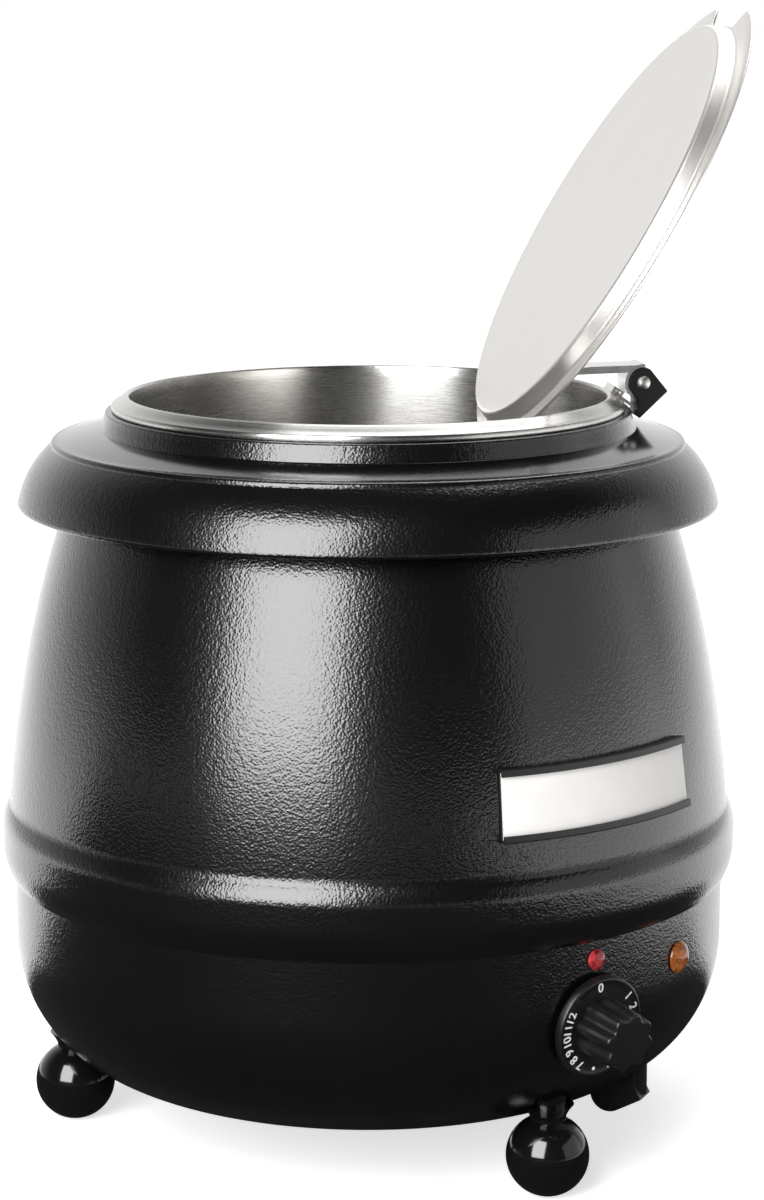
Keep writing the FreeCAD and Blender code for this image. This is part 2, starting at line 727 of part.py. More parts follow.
def hinge_strap():
    curl_in = BLOCK_EYE_R + CURL_GAP
    curl_out = curl_in + STRAP_SHEET
    middle = (CURL_FROM_DEG + CURL_TO_DEG) / 2
    curl = outline(around(curl_in, CURL_FROM_DEG), (around(curl_in, middle), around(curl_in, CURL_TO_DEG)),
                   around(curl_out, CURL_TO_DEG), (around(curl_out, middle), around(curl_out, CURL_FROM_DEG)))
    top_z = pivot_z + KNUCKLE_R
    arm = outline((pivot_s, top_z - STRAP_SHEET), around(curl_in, STRAP_MEETS_DEG),
                  around(curl_out, STRAP_MEETS_DEG), (pivot_s, top_z))
    sheet = curl.extrude(V(0, strap_w, 0)).fuse(arm.extrude(V(0, strap_w, 0)))
    sheet.translate(V(0, -strap_w / 2, 0))
    knuckle_gap = LEAF_KNUCKLE / 2 + SEAT_FIT
    notch_r = KNUCKLE_R + KNUCKLE_GAP
    notch = Part.makeBox(2 * notch_r, 2 * knuckle_gap, 4 * notch_r,
                         V(pivot_s - notch_r, -knuckle_gap, pivot_z - 2 * notch_r))
    strap = sheet.cut(notch)
    web_r = (curl_in + curl_out) / 2
    for side in (-1, 1):
        low = min(side * ear_in, side * ear_out)
        ear = cross_rod(EAR_R, bolt_s, bolt_z, low, low + STRAP_SHEET)
        web = outline(around(0.0, 0.0), around(web_r, CURL_FROM_DEG),
                      (around(web_r, middle), around(web_r, CURL_TO_DEG)))
        web.translate(V(0, low, 0))
        knuckle = cross_rod(KNUCKLE_R, pivot_s, pivot_z, min(side * knuckle_gap, side * ear_out),
                            max(side * knuckle_gap, side * ear_out))
        strap = strap.fuse(ear).fuse(web.extrude(V(0, STRAP_SHEET, 0))).fuse(knuckle)
    strap = strap.cut(cross_rod(BOLT_R + PIN_FIT, bolt_s, bolt_z, -strap_w, strap_w))
    return one(strap.cut(cross_rod(PIVOT_PIN_R, pivot_s, pivot_z, -strap_w, strap_w)))


def pivot_pin():
    return cross_rod(PIVOT_PIN_R, pivot_s, pivot_z, -ear_out - PIN_END, ear_out + PIN_END)


def opened(shape):
    """Swings a piece of the lid, built closed, about the pivot pin to the open rest."""
    swung = shape.copy()
    swung.rotate(V(pivot_s, 0, pivot_z), V(0, 1, 0), LID_OPEN)
    return at_azimuth(swung, HINGE_AZ)


lid_z = flange_top_z + LID_LIFT
panel_r = lid_r - LID_RING_W
panel_top_z = lid_z - LID_PANEL_DROP + LID_SHEET


def lid():
    flat_r = panel_r - LID_PANEL_SLOPE
    edge_r = lid_r - LID_EDGE_ROUND
    low = lid_z - LID_PANEL_DROP
    profile = outline((0, low), (flat_r, low), (panel_r, lid_z), (edge_r, lid_z),
                      ((lid_r, lid_z + LID_SHEET / 2), (edge_r, lid_z + LID_SHEET)),
                      (panel_r - LID_SHEET / 2, lid_z + LID_SHEET),
                      (flat_r - LID_SHEET / 2, panel_top_z), (0, panel_top_z))
    sheet = spin(profile)
    depth = NOTCH_DEPTH
    notch = Part.makeBox(2 * depth, NOTCH_W, 4 * LID_PANEL_DROP,
                         V(-lid_r - depth, -NOTCH_W / 2, lid_z - 2 * LID_PANEL_DROP))
    inner = [edge for edge in notch.Edges
             if abs(edge.BoundBox.XMin + lid_r - depth) < 1e-6 and edge.BoundBox.ZLength > depth]
    sheet = sheet.cut(notch.makeFillet(NOTCH_CORNER_R, inner))
    sheet.translate(V(-LID_SHIFT, 0, 0))
    return sheet


def lid_leaf():
    knuckle = cross_rod(KNUCKLE_R, pivot_s, pivot_z, -LEAF_KNUCKLE / 2, LEAF_KNUCKLE / 2)
    web_s = pivot_s - KNUCKLE_R
    foot_top = panel_top_z + LEAF_SHEET
    foot = Part.makeBox(LEAF_L, LEAF_W, LEAF_SHEET, V(web_s + LEAF_SHEET - LEAF_L, -LEAF_W / 2, panel_top_z))
    web = Part.makeBox(LEAF_SHEET, LEAF_KNUCKLE, pivot_z - foot_top + LEAF_SHEET / 2,
                       V(web_s, -LEAF_KNUCKLE / 2, foot_top - LEAF_SHEET / 2))
    leaf = knuckle.fuse(foot).fuse(web)
    return one(leaf.cut(cross_rod(PIVOT_PIN_R + PIN_FIT, pivot_s, pivot_z, -LEAF_W, LEAF_W)))


def at_hinge(shape):
    return at_azimuth(shape, HINGE_AZ)


def group(make, places, *rest):
    return Part.makeCompound([make(*rest, x, y) for x, y in places])


def foot_stud(x, y):
    return rod(STUD_R, foot_seat_z - STUD_IN_FOOT + SEAT_FIT, boss_top_z + NUT_H + THREAD_OVER, x, y)


def tie_stud(x, y):
    return rod(STUD_R, TIE_END_Z, well_under_z, x, y)


nodes = {
    "body_shell": body_shell(),
    "base_bowl": base_bowl(),
    "top_collar": top_collar(),
    "water_well": water_well(),
    "heating_element": heating_element(),
    "element_clamp": element_clamp(),
    "overheat_cutout": rod(CUTOUT_R, well_under_z - CUTOUT_H, well_under_z),
    "tie_studs": group(tie_stud, tie_places),
    "clamp_nuts": group(nut, tie_places, clamp_top_z - CLAMP_PLATE - NUT_H),
    "base_plate": base_plate(),
    "base_nuts": group(nut, tie_places, BOWL_BOTTOM_Z - BASE_PLATE - NUT_H),
    "terminal_block": terminal_block(),
    "foot_studs": group(foot_stud, foot_places),
    "foot_nuts": group(nut, foot_places, boss_top_z),
    "control_knob": knob_place(knob()),
    "thermostat_shaft": knob_place(thermostat_shaft()),
    "thermostat_body": knob_place(thermostat_body()),
    "thermostat_nut": knob_place(thermostat_nut()),
    "red_lamp_lens": lamp_lens(RED_AZ, RED_Z, RED_R),
    "red_lamp_body": lamp_body(RED_AZ, RED_Z, RED_R),
    "amber_lamp_lens": lamp_lens(AMBER_AZ, AMBER_Z, AMBER_R),
    "amber_lamp_body": lamp_body(AMBER_AZ, AMBER_Z, AMBER_R),
    "sign_holder": sign_holder(),
    "sign_plate": sign_plate(),
    "cord_gland": cord_gland(),
    "inset_pot": inset_pot(),
    "rim_clip": at_hinge(rim_clip()),
    "clip_rivets": at_hinge(clip_rivets()),
    "hinge_block": at_hinge(hinge_block()),
    "hinge_bolt": at_hinge(hinge_bolt()),
    "hinge_strap": at_hinge(hinge_strap()),
    "pivot_pin": at_hinge(pivot_pin()),
    "lid": opened(lid()),
    "lid_leaf": opened(lid_leaf()),
}
for name, (x, y) in zip(("front_foot", "right_foot", "left_foot"), foot_places):
    nodes[name] = foot(x, y)

os.makedirs("parts", exist_ok=True)
for name, shape in nodes.items():
    shape.exportStep("parts/%s.step" % name)
    print(name, len(shape.Solids), shape.isValid(), round(shape.Volume))
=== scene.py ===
import json
import math

import bmesh
import bpy
import numpy as np
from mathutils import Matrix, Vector


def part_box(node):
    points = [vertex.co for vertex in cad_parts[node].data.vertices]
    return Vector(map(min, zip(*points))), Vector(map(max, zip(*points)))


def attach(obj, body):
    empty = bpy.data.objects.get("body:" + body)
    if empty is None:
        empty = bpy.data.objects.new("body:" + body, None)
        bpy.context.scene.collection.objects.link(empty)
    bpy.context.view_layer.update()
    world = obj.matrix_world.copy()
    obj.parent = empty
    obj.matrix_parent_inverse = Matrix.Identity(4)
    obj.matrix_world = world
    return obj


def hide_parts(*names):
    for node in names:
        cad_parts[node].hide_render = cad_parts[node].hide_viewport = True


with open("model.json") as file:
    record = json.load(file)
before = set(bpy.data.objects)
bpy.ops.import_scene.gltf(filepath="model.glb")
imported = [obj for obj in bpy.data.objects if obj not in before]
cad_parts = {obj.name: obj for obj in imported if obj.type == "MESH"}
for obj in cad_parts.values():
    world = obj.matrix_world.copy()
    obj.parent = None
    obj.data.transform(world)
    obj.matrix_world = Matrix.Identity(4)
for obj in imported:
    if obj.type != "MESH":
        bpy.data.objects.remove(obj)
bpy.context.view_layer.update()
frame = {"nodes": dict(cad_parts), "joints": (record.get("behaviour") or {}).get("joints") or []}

# Base bowl: the lower casing, pressed from steel sheet, which carries the knob, the lamps and the feet.
# It is coated with a black hammered enamel, and its upper edge slides up into the body shell.
# Sizes of pieces are millimetres, which make_piece turns to metres; those of the studio are metres.


def span(node):
    """Lowest and highest corner of a CAD node at rest, in millimetres."""
    low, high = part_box(node)
    return np.array(low) * 1000.0, np.array(high) * 1000.0


def conic(start, corner, end, fullness, count=40):
    """Rational quadratic from start to end: the corner draws the curve to itself by its fullness."""
    t = np.linspace(0.0, 1.0, count)[:, None]
    near, middle, far = (1 - t) ** 2, 2 * fullness * t * (1 - t), t ** 2
    return (near * start + middle * np.array(corner) + far * np.array(end)) / (near + middle + far)


SHEET = 1.2
BOWL_CORNER_W, BOWL_CORNER_H, BOWL_FULLNESS, BOWL_HOLE_IN = 64.6, 65.0, 0.8, 16.0
bowl_low, bowl_high = span("base_bowl")
bowl_r, bowl_floor, bowl_top = bowl_high[0], bowl_low[2], bowl_high[2]
bowl_flat_r = bowl_r - BOWL_CORNER_W
bowl_hole_r = bowl_flat_r - BOWL_HOLE_IN
corner_top = bowl_floor + BOWL_CORNER_H
corner_out = conic((bowl_r, corner_top), (bowl_r, bowl_floor), (bowl_flat_r, bowl_floor), BOWL_FULLNESS)
corner_in = conic((bowl_r - SHEET, corner_top), (bowl_r - SHEET, bowl_floor + SHEET),
                  (bowl_flat_r, bowl_floor + SHEET), BOWL_FULLNESS)
bowl_line = np.concatenate([[(bowl_r, bowl_top)], corner_out,
                            [(bowl_hole_r, bowl_floor), (bowl_hole_r, bowl_floor + SHEET)],
                            corner_in[::-1], [(bowl_r - SHEET, bowl_top)]])


def refined(points, longest, closed=True):
    """The same line with each straight run divided into equal steps no longer than the longest."""
    points = np.asarray(points, float)
    ends = np.roll(points, -1, 0)
    counts = np.maximum(1, np.ceil(np.linalg.norm(ends - points, axis=1) / longest)).astype(int)
    if not closed:
        counts[-1] = 1
        ends[-1] = points[-1]
    step = np.arange(counts.sum()) - np.repeat(np.cumsum(counts) - counts, counts)
    share = (step / np.repeat(counts, counts))[:, None]
    return np.repeat(points, counts, 0) * (1 - share) + np.repeat(ends, counts, 0) * share


def lathe(profile, turns=288, centre=(0.0, 0.0)):
    """Surface of revolution: each (r, z) of the profile goes to (r cos a, r sin a, z) for every angle a."""
    a = np.linspace(0.0, 2 * np.pi, turns, endpoint=False)[None, :]
    r, z = np.asarray(profile, float).T[:, :, None]
    return np.stack([centre[0] + r * np.cos(a), centre[1] + r * np.sin(a), z + 0 * a], -1)


# Three round bosses, fused to the bowl where its corner curves, take the studs of the feet.
BOSS_R, BOSS_TOP = 8.0, 62.0
FEET = ("front_foot", "right_foot", "left_foot")
foot_boxes = [span(node) for node in FEET]
boss_foot = foot_boxes[0][1][2]
boss_line = refined([(0.0, boss_foot), (BOSS_R, boss_foot), (BOSS_R, BOSS_TOP), (0.0, BOSS_TOP)],
                    longest=3.0, closed=False)
boss_grids = [(lathe(boss_line, turns=64, centre=(low + high)[:2] / 2), False) for low, high in foot_boxes]


def colour(code):
    """Linear RGBA of an sRGB hex colour: the low end divided by 12.92, the rest a power of 2.4."""
    srgb = np.array([int(code[i:i + 2], 16) for i in (1, 3, 5)]) / 255.0
    linear = np.where(srgb <= 0.04045, srgb / 12.92, ((srgb + 0.055) / 1.055) ** 2.4)
    return (*linear.tolist(), 1.0)


def new_material(name, **sockets):
    """A material whose shader has these plain values on its own sockets; an underscore stands for a space."""
    material = bpy.data.materials.new(name)
    material.use_nodes = True
    shader = material.node_tree.nodes["Principled BSDF"]
    for socket, value in sockets.items():
        shader.inputs[socket.replace("_", " ")].default_value = value
    return material, material.node_tree, shader


def add(tree, kind, settings, **inputs):
    """Adds one shader node and gives its outputs.

    An input is an output socket to link or a plain value, and is named, or numbered as n0, n1.
    """
    node = tree.nodes.new("ShaderNode" + kind)
    for name, value in settings.items():
        setattr(node, name, value)
    for name, value in inputs.items():
        place = int(name[1:]) if name[1:].isdigit() else name.replace("_", " ")
        if isinstance(value, bpy.types.NodeSocket):
            tree.links.new(value, node.inputs[place])
        else:
            node.inputs[place].default_value = value
    return node.outputs


# Hammered powder enamel, baked on: soft round lumps with creases between them break the shine into sparks.
LUMP, LUMP_H, CLOUD, CREASE = 1.1, 0.1, 60.0, 0.9
SWELL = 2.2 * LUMP
hammered, tree, shader = new_material("hammered_black_enamel", IOR=1.55, Coat_Weight=0.5, Coat_Roughness=0.14,
                                      Coat_IOR=1.5)
place = add(tree, "TexCoord", {})["Object"]
lumps = add(tree, "TexVoronoi", {"feature": "SMOOTH_F1"}, Vector=place, Scale=1000.0 / LUMP, Smoothness=0.6,
            Randomness=1.0)["Distance"]
swell = add(tree, "TexNoise", {}, Vector=place, Scale=1000.0 / SWELL, Detail=2.0, Roughness=0.55)["Fac"]
height = add(tree, "Math", {"operation": "MULTIPLY_ADD"}, n0=lumps, n1=-CREASE, n2=swell)["Value"]

# On the collar's upper face, which lies nearly level, the enamel has run smooth and the lumps almost vanish.
SMOOTH_LOW, SMOOTH_HIGH, BLEND = 322.2, 327.0, 0.6
SMOOTH_BUMP, SMOOTH_DULL = 0.05, 0.12
rise = add(tree, "SeparateXYZ", {}, Vector=place)["Z"]
over = add(tree, "MapRange", {}, Value=rise, From_Min=SMOOTH_LOW / 1000.0,
           From_Max=(SMOOTH_LOW + BLEND) / 1000.0)["Result"]
under = add(tree, "MapRange", {}, Value=rise, From_Min=SMOOTH_HIGH / 1000.0,
            From_Max=(SMOOTH_HIGH + BLEND) / 1000.0, To_Min=1.0, To_Max=0.0)["Result"]
smooth = add(tree, "Math", {"operation": "MULTIPLY"}, n0=over, n1=under)["Value"]
strength = add(tree, "MapRange", {}, Value=smooth, To_Min=1.0, To_Max=SMOOTH_BUMP)["Result"]
bump = add(tree, "Bump", {}, Strength=strength, Distance=LUMP_H / 1000.0, Height=height)["Normal"]
cloud = add(tree, "TexNoise", {}, Vector=place, Scale=1000.0 / CLOUD, Detail=3.0)["Fac"]
tint = add(tree, "Mix", {"data_type": "RGBA"}, n0=cloud, n6=colour("#050404"), n7=colour("#0b0a09"))[2]
lump_dull = add(tree, "MapRange", {}, Value=lumps, To_Min=0.17, To_Max=0.27)["Result"]
dull = add(tree, "Mix", {}, n0=smooth, n2=lump_dull, n3=SMOOTH_DULL)[0]
tree.links.new(tint, shader.inputs["Base Color"])
tree.links.new(dull, shader.inputs["Roughness"])
tree.links.new(bump, shader.inputs["Normal"])
tree.links.new(bump, shader.inputs["Coat Normal"])


def finish_piece(name, body, material, points, faces, nodes=(), crease=40.0):
    """One object from points in metres and faces, on its body and with its material, in place of the CAD
    nodes.

    Doubles at poles are merged and the faces are turned outwards; edges sharper than the crease stay crisp.
    """
    mesh = bpy.data.meshes.new(name)
    mesh.from_pydata(points.tolist(), [], faces)
    shape = bmesh.new()
    shape.from_mesh(mesh)
    bmesh.ops.remove_doubles(shape, verts=shape.verts, dist=2e-6)
    bmesh.ops.recalc_face_normals(shape, faces=shape.faces)
    shape.to_mesh(mesh)
    shape.free()
    mesh.shade_smooth()
    mesh.set_sharp_from_angle(angle=math.radians(crease))
    mesh.materials.append(material)
    piece = bpy.data.objects.new(name, mesh)
    bpy.context.scene.collection.objects.link(piece)
    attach(piece, body)
    if nodes:
        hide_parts(*nodes)
    return piece


def make_piece(name, body, material, grids, nodes=(), crease=40.0):
    """One piece from grids of points with loop flags: a row is a closed ring, and quads join the rows.

    A loop joins its last row to its first, and any other grid has a flat face on each end.
    """
    points, faces, first = [], [], 0
    for grid, loop in grids:
        rows, ring = grid.shape[:2]
        index = first + np.arange(rows * ring).reshape(rows, ring)
        near = index if loop else index[:-1]
        far = np.roll(index, -1, 0) if loop else index[1:]
        quads = np.stack([near, np.roll(near, -1, 1), np.roll(far, -1, 1), far], -1)
        faces += quads.reshape(-1, 4).tolist()
        faces += [] if loop else [index[0].tolist(), index[-1].tolist()]
        points.append(grid.reshape(-1, 3) / 1000.0)
        first += rows * ring
    return finish_piece(name, body, material, np.concatenate(points), faces, nodes, crease)


make_piece("bowl_casing", "kettle", hammered,
           [(lathe(refined(bowl_line, longest=4.0)), True)] + boss_grids, ["base_bowl"])

# Ball feet: three black phenolic balls, moulded and tumbled to a gloss, each screwed on to a stud.
# A small flat under each ball bears on the table, and a flared pad on top beds against the bowl.


def mottled(name, size, detail, tints, dulls, **sockets):
    """A finish that drifts between two tints and two roughnesses, in a noise whose clouds have this size."""
    material, tree, shader = new_material(name, **sockets)
    place = add(tree, "TexCoord", {})["Object"]
    cloud = add(tree, "TexNoise", {}, Vector=place, Scale=1000.0 / size, Detail=detail)["Fac"]
    tint = add(tree, "Mix", {"data_type": "RGBA"}, n0=cloud, n6=colour(tints[0]), n7=colour(tints[1]))[2]
    dull = add(tree, "MapRange", {}, Value=cloud, To_Min=dulls[0], To_Max=dulls[1])["Result"]
    tree.links.new(tint, shader.inputs["Base Color"])
    tree.links.new(dull, shader.inputs["Roughness"])
    return material


# Tumbled phenolic: a deep black gloss, with a faint flow of the moulding in its shine.
phenolic = mottled("moulded_black_phenolic", size=9.0, detail=4.0, tints=("#09090a", "#101011"),
                   dulls=(0.07, 0.16), IOR=1.6, Coat_Weight=0.2)


def bend(start, middle, end, count=28):
    """Parabola from start to end that passes the middle half way; it rounds the corners of outlines."""
    middle = np.array(middle)
    return conic(start, 2 * middle - (np.array(start) + np.array(end)) / 2, end, 1.0, count)


FOOT_FLAT, PAD_R, PAD_H, PAD_WAIST, PAD_WAIST_H = 0.4, 11.5, 7.0, 0.8, 0.45
for node, (low, high) in zip(FEET, foot_boxes):
    ball_r = (high - low)[0] / 2
    ball_z = ball_r - FOOT_FLAT
    rise = np.linspace(-np.pi / 2, np.pi / 2, 60)
    ball = np.stack([ball_r * np.cos(rise), ball_z + ball_r * np.sin(rise)], -1)
    ball = ball[(ball[:, 1] > 0.0) & (ball[:, 1] < high[2])]
    flat_r = math.sqrt(ball_r ** 2 - ball_z ** 2)
    pad = bend((BOSS_R, high[2]), (BOSS_R + PAD_WAIST, high[2] + PAD_WAIST_H * PAD_H),
               (PAD_R, high[2] + PAD_H), 12)
    ball = np.concatenate([[(0.0, 0.0), (flat_r, 0.0)], ball, pad, [(0.0, high[2] + PAD_H)]])
    make_piece(node + "_ball", "kettle", phenolic,
               [(lathe(ball, turns=96, centre=(low + high)[:2] / 2), False)], [node])

# Fixings inside and under the bowl: turned studs and hexagon nuts of zinc-plated steel, a base plate of the
# coated sheet that closes the bowl, and cream mouldings for the terminals, the thermostat and the lamps.

# Zinc plate: a soft grey metal, with small crystals that each take the light a little differently.
SPANGLE = 3.0
zinc, tree, shader = new_material("zinc_plated_steel", Metallic=1.0)
place = add(tree, "TexCoord", {})["Object"]
spangle = add(tree, "TexVoronoi", {}, Vector=place, Scale=1000.0 / SPANGLE)["Color"]
patch = add(tree, "SeparateColor", {}, Color=spangle)["Red"]
tint = add(tree, "Mix", {"data_type": "RGBA"}, n0=patch, n6=colour("#a9abae"), n7=colour("#c6c6c2"))[2]
dull = add(tree, "MapRange", {}, Value=patch, To_Min=0.28, To_Max=0.42)["Result"]
tree.links.new(tint, shader.inputs["Base Color"])
tree.links.new(dull, shader.inputs["Roughness"])

# Moulded nylon in its own cream colour: a dull, slightly cloudy surface.
cream = mottled("moulded_cream_nylon", size=6.0, detail=3.0, tints=("#d9d0b8", "#e6dec9"), dulls=(0.4, 0.55),
                IOR=1.53)


def refinish(material, *nodes):
    """Gives CAD nodes that stay in view a finished material."""
    for node in nodes:
        data = frame["nodes"][node].data
        data.materials.clear()
        data.materials.append(material)


refinish(zinc, "tie_studs", "clamp_nuts", "base_nuts", "foot_studs", "foot_nuts", "thermostat_nut",
         "thermostat_shaft")
refinish(cream, "terminal_block", "thermostat_body", "red_lamp_body", "amber_lamp_body")
refinish(hammered, "base_plate")

# Control knob: a black moulding with a flat skirt that carries the dial and a ribbed grip.
# It pushes on to the thermostat's shaft, which comes through the bowl's wall, and turns with it.

UPRIGHT = np.array([0.0, 0.0, 1.0])


def joint(name):
    """Place of a joint in millimetres, the direction of its axis and its range in degrees."""
    found = next(entry for entry in frame["joints"] if entry["name"] == name)
    return np.array(found["pos_m"]) * 1000.0, np.array(found["axis"]), found["range_deg"]


def set_on(points, at, right, up, out):
    """Points given right, up and out from a seat, put in the kettle's frame: the seat plus the three ways."""
    return at + points @ np.stack([right, up, out])


knob_at, knob_out, _ = joint("knob_turn")
knob_up = UPRIGHT - knob_out[2] * knob_out
knob_up /= np.linalg.norm(knob_up)
knob_right = np.cross(knob_up, knob_out)

SKIRT_R, SKIRT_BACK, SKIRT_FACE, DIAL_SUNK = 23.0, 1.0, 5.0, 0.35
dial_z = SKIRT_FACE - DIAL_SUNK
skirt_line = [(0.0, SKIRT_BACK), (SKIRT_R - 0.4, SKIRT_BACK), (SKIRT_R, SKIRT_BACK + 0.5),
              (SKIRT_R - 0.3, SKIRT_FACE - 0.9), (SKIRT_R - 0.8, SKIRT_FACE - 0.2),
              (SKIRT_R - 1.6, SKIRT_FACE), (SKIRT_R - 2.2, dial_z), (0.0, dial_z)]

# The grip's line gives shares of its radius and its height, and says where its grooves are cut.
GRIP_R, GRIP_H, GRIP_SUNK, RIBS, RIB_DEPTH, RIB_TURN = 14.2, 20.0, 0.5, 8, 2.2, 0.2
turn = np.linspace(0.0, 2 * np.pi, 240, endpoint=False)[None, :]
groove = RIB_DEPTH * (0.5 - 0.5 * np.cos(RIBS * (turn + RIB_TURN))) ** 1.2
grip_line = np.array([(0.0, 0.0, 0.0), (1.0, 0.0, 1.0), (0.99, 0.25, 1.0), (0.97, 0.5, 1.0),
                      (0.94, 0.75, 1.0), (0.92, 0.94, 1.0), (0.905, 0.975, 1.0), (0.88, 0.995, 1.0),
                      (0.85, 1.0, 1.0), (0.82, 1.0, 1.0), (0.0, 1.0, 0.0)])
grip_r = grip_line[:, :1] * GRIP_R - grip_line[:, 2:] * groove
grip_z = SKIRT_FACE - GRIP_SUNK + grip_line[:, 1:2] * GRIP_H + 0 * turn
grip = np.stack([grip_r * np.cos(turn), grip_r * np.sin(turn), grip_z], -1)


def pebble(material, size, detail, strength, depth, roughness=0.5):
    """Adds a fine relief to a finish: a noise whose grains have this size, raised by the depth."""
    tree = material.node_tree
    place = add(tree, "TexCoord", {})["Object"]
    grain = add(tree, "TexNoise", {}, Vector=place, Scale=1000.0 / size, Detail=detail,
                Roughness=roughness)["Fac"]
    bump = add(tree, "Bump", {}, Strength=strength, Distance=depth / 1000.0, Height=grain)["Normal"]
    tree.links.new(bump, tree.nodes["Principled BSDF"].inputs["Normal"])


# Black phenolic with a fine moulded texture, a little duller than the feet.
KNOB_GRIT = 0.6
knob_black = mottled("moulded_black_knob", KNOB_GRIT, detail=2.0, tints=("#0b0b0d", "#17171a"),
                     dulls=(0.28, 0.42), IOR=1.55)
pebble(knob_black, KNOB_GRIT, detail=2.0, strength=0.4, depth=0.03)
make_piece("dial_knob", "knob", knob_black,
           [(set_on(grid, knob_at, knob_right, knob_up, knob_out), False)
            for grid in (lathe(refined(skirt_line, longest=3.0, closed=False), turns=160), grip)],
           ["control_knob"], crease=50.0)

# White numbers, printed on the skirt round the grip, with a dot at the foot of the dial.
# The ink is a flat white that covers a little unevenly.
DIAL_R, NUMBER_H, STROKE, PRINT = 18.6, 4.2, 0.12, 0.06
TYPE_SIZE = 1.4 * NUMBER_H
DIAL = {"0": -6, "1": 50, "2": 70, "3": 92, "4": 114, "5": 138, "6": 162, "\u2022": 187, "7": 213,
        "8": 228, "9": 243, "10": 259, "11": 276, "12": 293}
ink = mottled("white_dial_ink", size=0.8, detail=2.0, tints=("#d4d4d2", "#efefed"), dulls=(0.4, 0.55),
              IOR=1.5)
ink_points, ink_faces, first = [], [], 0
for number, degrees in DIAL.items():
    letters = bpy.data.curves.new("number", "FONT")
    letters.body, letters.size, letters.extrude = number, TYPE_SIZE, PRINT / 2
    letters.offset, letters.align_x, letters.align_y = STROKE, "CENTER", "CENTER"
    writing = bpy.data.objects.new("number", letters)
    drawn = writing.to_mesh()
    flat_points = np.empty(3 * len(drawn.vertices))
    drawn.vertices.foreach_get("co", flat_points)
    flat_points = flat_points.reshape(-1, 3) + (0.0, DIAL_R, dial_z)
    lean = math.radians(degrees)
    round_dial = np.array([[math.cos(lean), -math.sin(lean), 0.0], [math.sin(lean), math.cos(lean), 0.0],
                           [0.0, 0.0, 1.0]])
    ink_points.append(set_on(flat_points @ round_dial, knob_at, knob_right, knob_up, knob_out) / 1000.0)
    ink_faces += [[first + corner for corner in face.vertices] for face in drawn.polygons]
    first += len(drawn.vertices)
    writing.to_mesh_clear()
    bpy.data.objects.remove(writing)
    bpy.data.curves.remove(letters)
finish_piece("dial_numbers", "knob", ink, np.concatenate(ink_points), ink_faces)

# Lamps: a small red and a larger amber lens of moulded acrylic, pushed into holes in the bowl from outside.
# Each has a flat rim against the wall and a low dome.

LENS_LIP, LENS_RIM, LENS_ROOT, LENS_SEAT, DOME_SHARE = 1.2, 0.95, -0.6, 0.15, 0.6


def lens_grid(node):
    """A lens of revolution about the outward direction: a step, a rim, then a spherical cap."""
    low, high = span(node)
    centre = (low + high) / 2
    az = math.atan2(centre[0], -centre[1])
    out = np.array([math.sin(az), -math.cos(az), 0.0])
    right = np.array([math.cos(az), math.sin(az), 0.0])
    rim_r = (high - low)[2] / 2
    root_r = rim_r - LENS_LIP
    dome = DOME_SHARE * root_r
    ball_r = (rim_r ** 2 + dome ** 2) / (2 * dome)
    lean = np.linspace(math.asin(rim_r / ball_r), 0.0, 24)
    cap = np.stack([ball_r * np.sin(lean), LENS_RIM + dome - ball_r * (1 - np.cos(lean))], -1)
    step = [(0.0, LENS_ROOT), (root_r, LENS_ROOT), (root_r, LENS_SEAT), (rim_r, LENS_SEAT)]
    seat = bowl_r * out + centre[2] * UPRIGHT
    return set_on(lathe(np.concatenate([step, cap]), turns=72), seat, right, UPRIGHT, out)


# Tinted acrylic: clear at the skin and deep in colour, with faint moulding flecks that scatter the light.
FLECK = 2.2
for node, slot, name, dark, pale in (
        ("red_lamp_lens", "red_lens", "red_acrylic", "#651518", "#a8383b"),
        ("amber_lamp_lens", "amber_lens", "amber_acrylic", "#5e2c10", "#a8612c")):
    acrylic, tree, shader = new_material(name, IOR=1.49, Coat_Weight=0.3)
    place = add(tree, "TexCoord", {})["Object"]
    fleck = add(tree, "TexNoise", {}, Vector=place, Scale=1000.0 / FLECK, Detail=3.0, Roughness=0.6)["Fac"]
    ramp = add(tree, "MapRange", {}, Value=fleck, From_Min=0.35, From_Max=0.65)["Result"]
    tint = add(tree, "Mix", {"data_type": "RGBA"}, n0=ramp, n6=colour(dark), n7=colour(pale))[2]
    dull = add(tree, "MapRange", {}, Value=fleck, To_Min=0.1, To_Max=0.24)["Result"]
    tree.links.new(tint, shader.inputs["Base Color"])
    tree.links.new(dull, shader.inputs["Roughness"])
    make_piece(node.replace("_lens", "_dome"), "kettle", acrylic, [(lens_grid(node), False)], [node])

# Cord gland: a block moulded in black nylon, square at its outer end and round at its inner one.
# Its neck is pushed up into a hole in the bowl's floor.

# Moulded nylon: a satin black, with a grit that dulls it in places.
nylon = mottled("moulded_black_nylon", size=0.9, detail=3.0, tints=("#0c0c0d", "#1b1b1c"), dulls=(0.3, 0.48),
                IOR=1.53)
refinish(nylon, "cord_gland")

# Body shell: the tapered wall of the kettle, spun from steel sheet and coated like the bowl.
# Its foot is swaged out into a belt that drops over the bowl, and its top edge turns in under the collar.

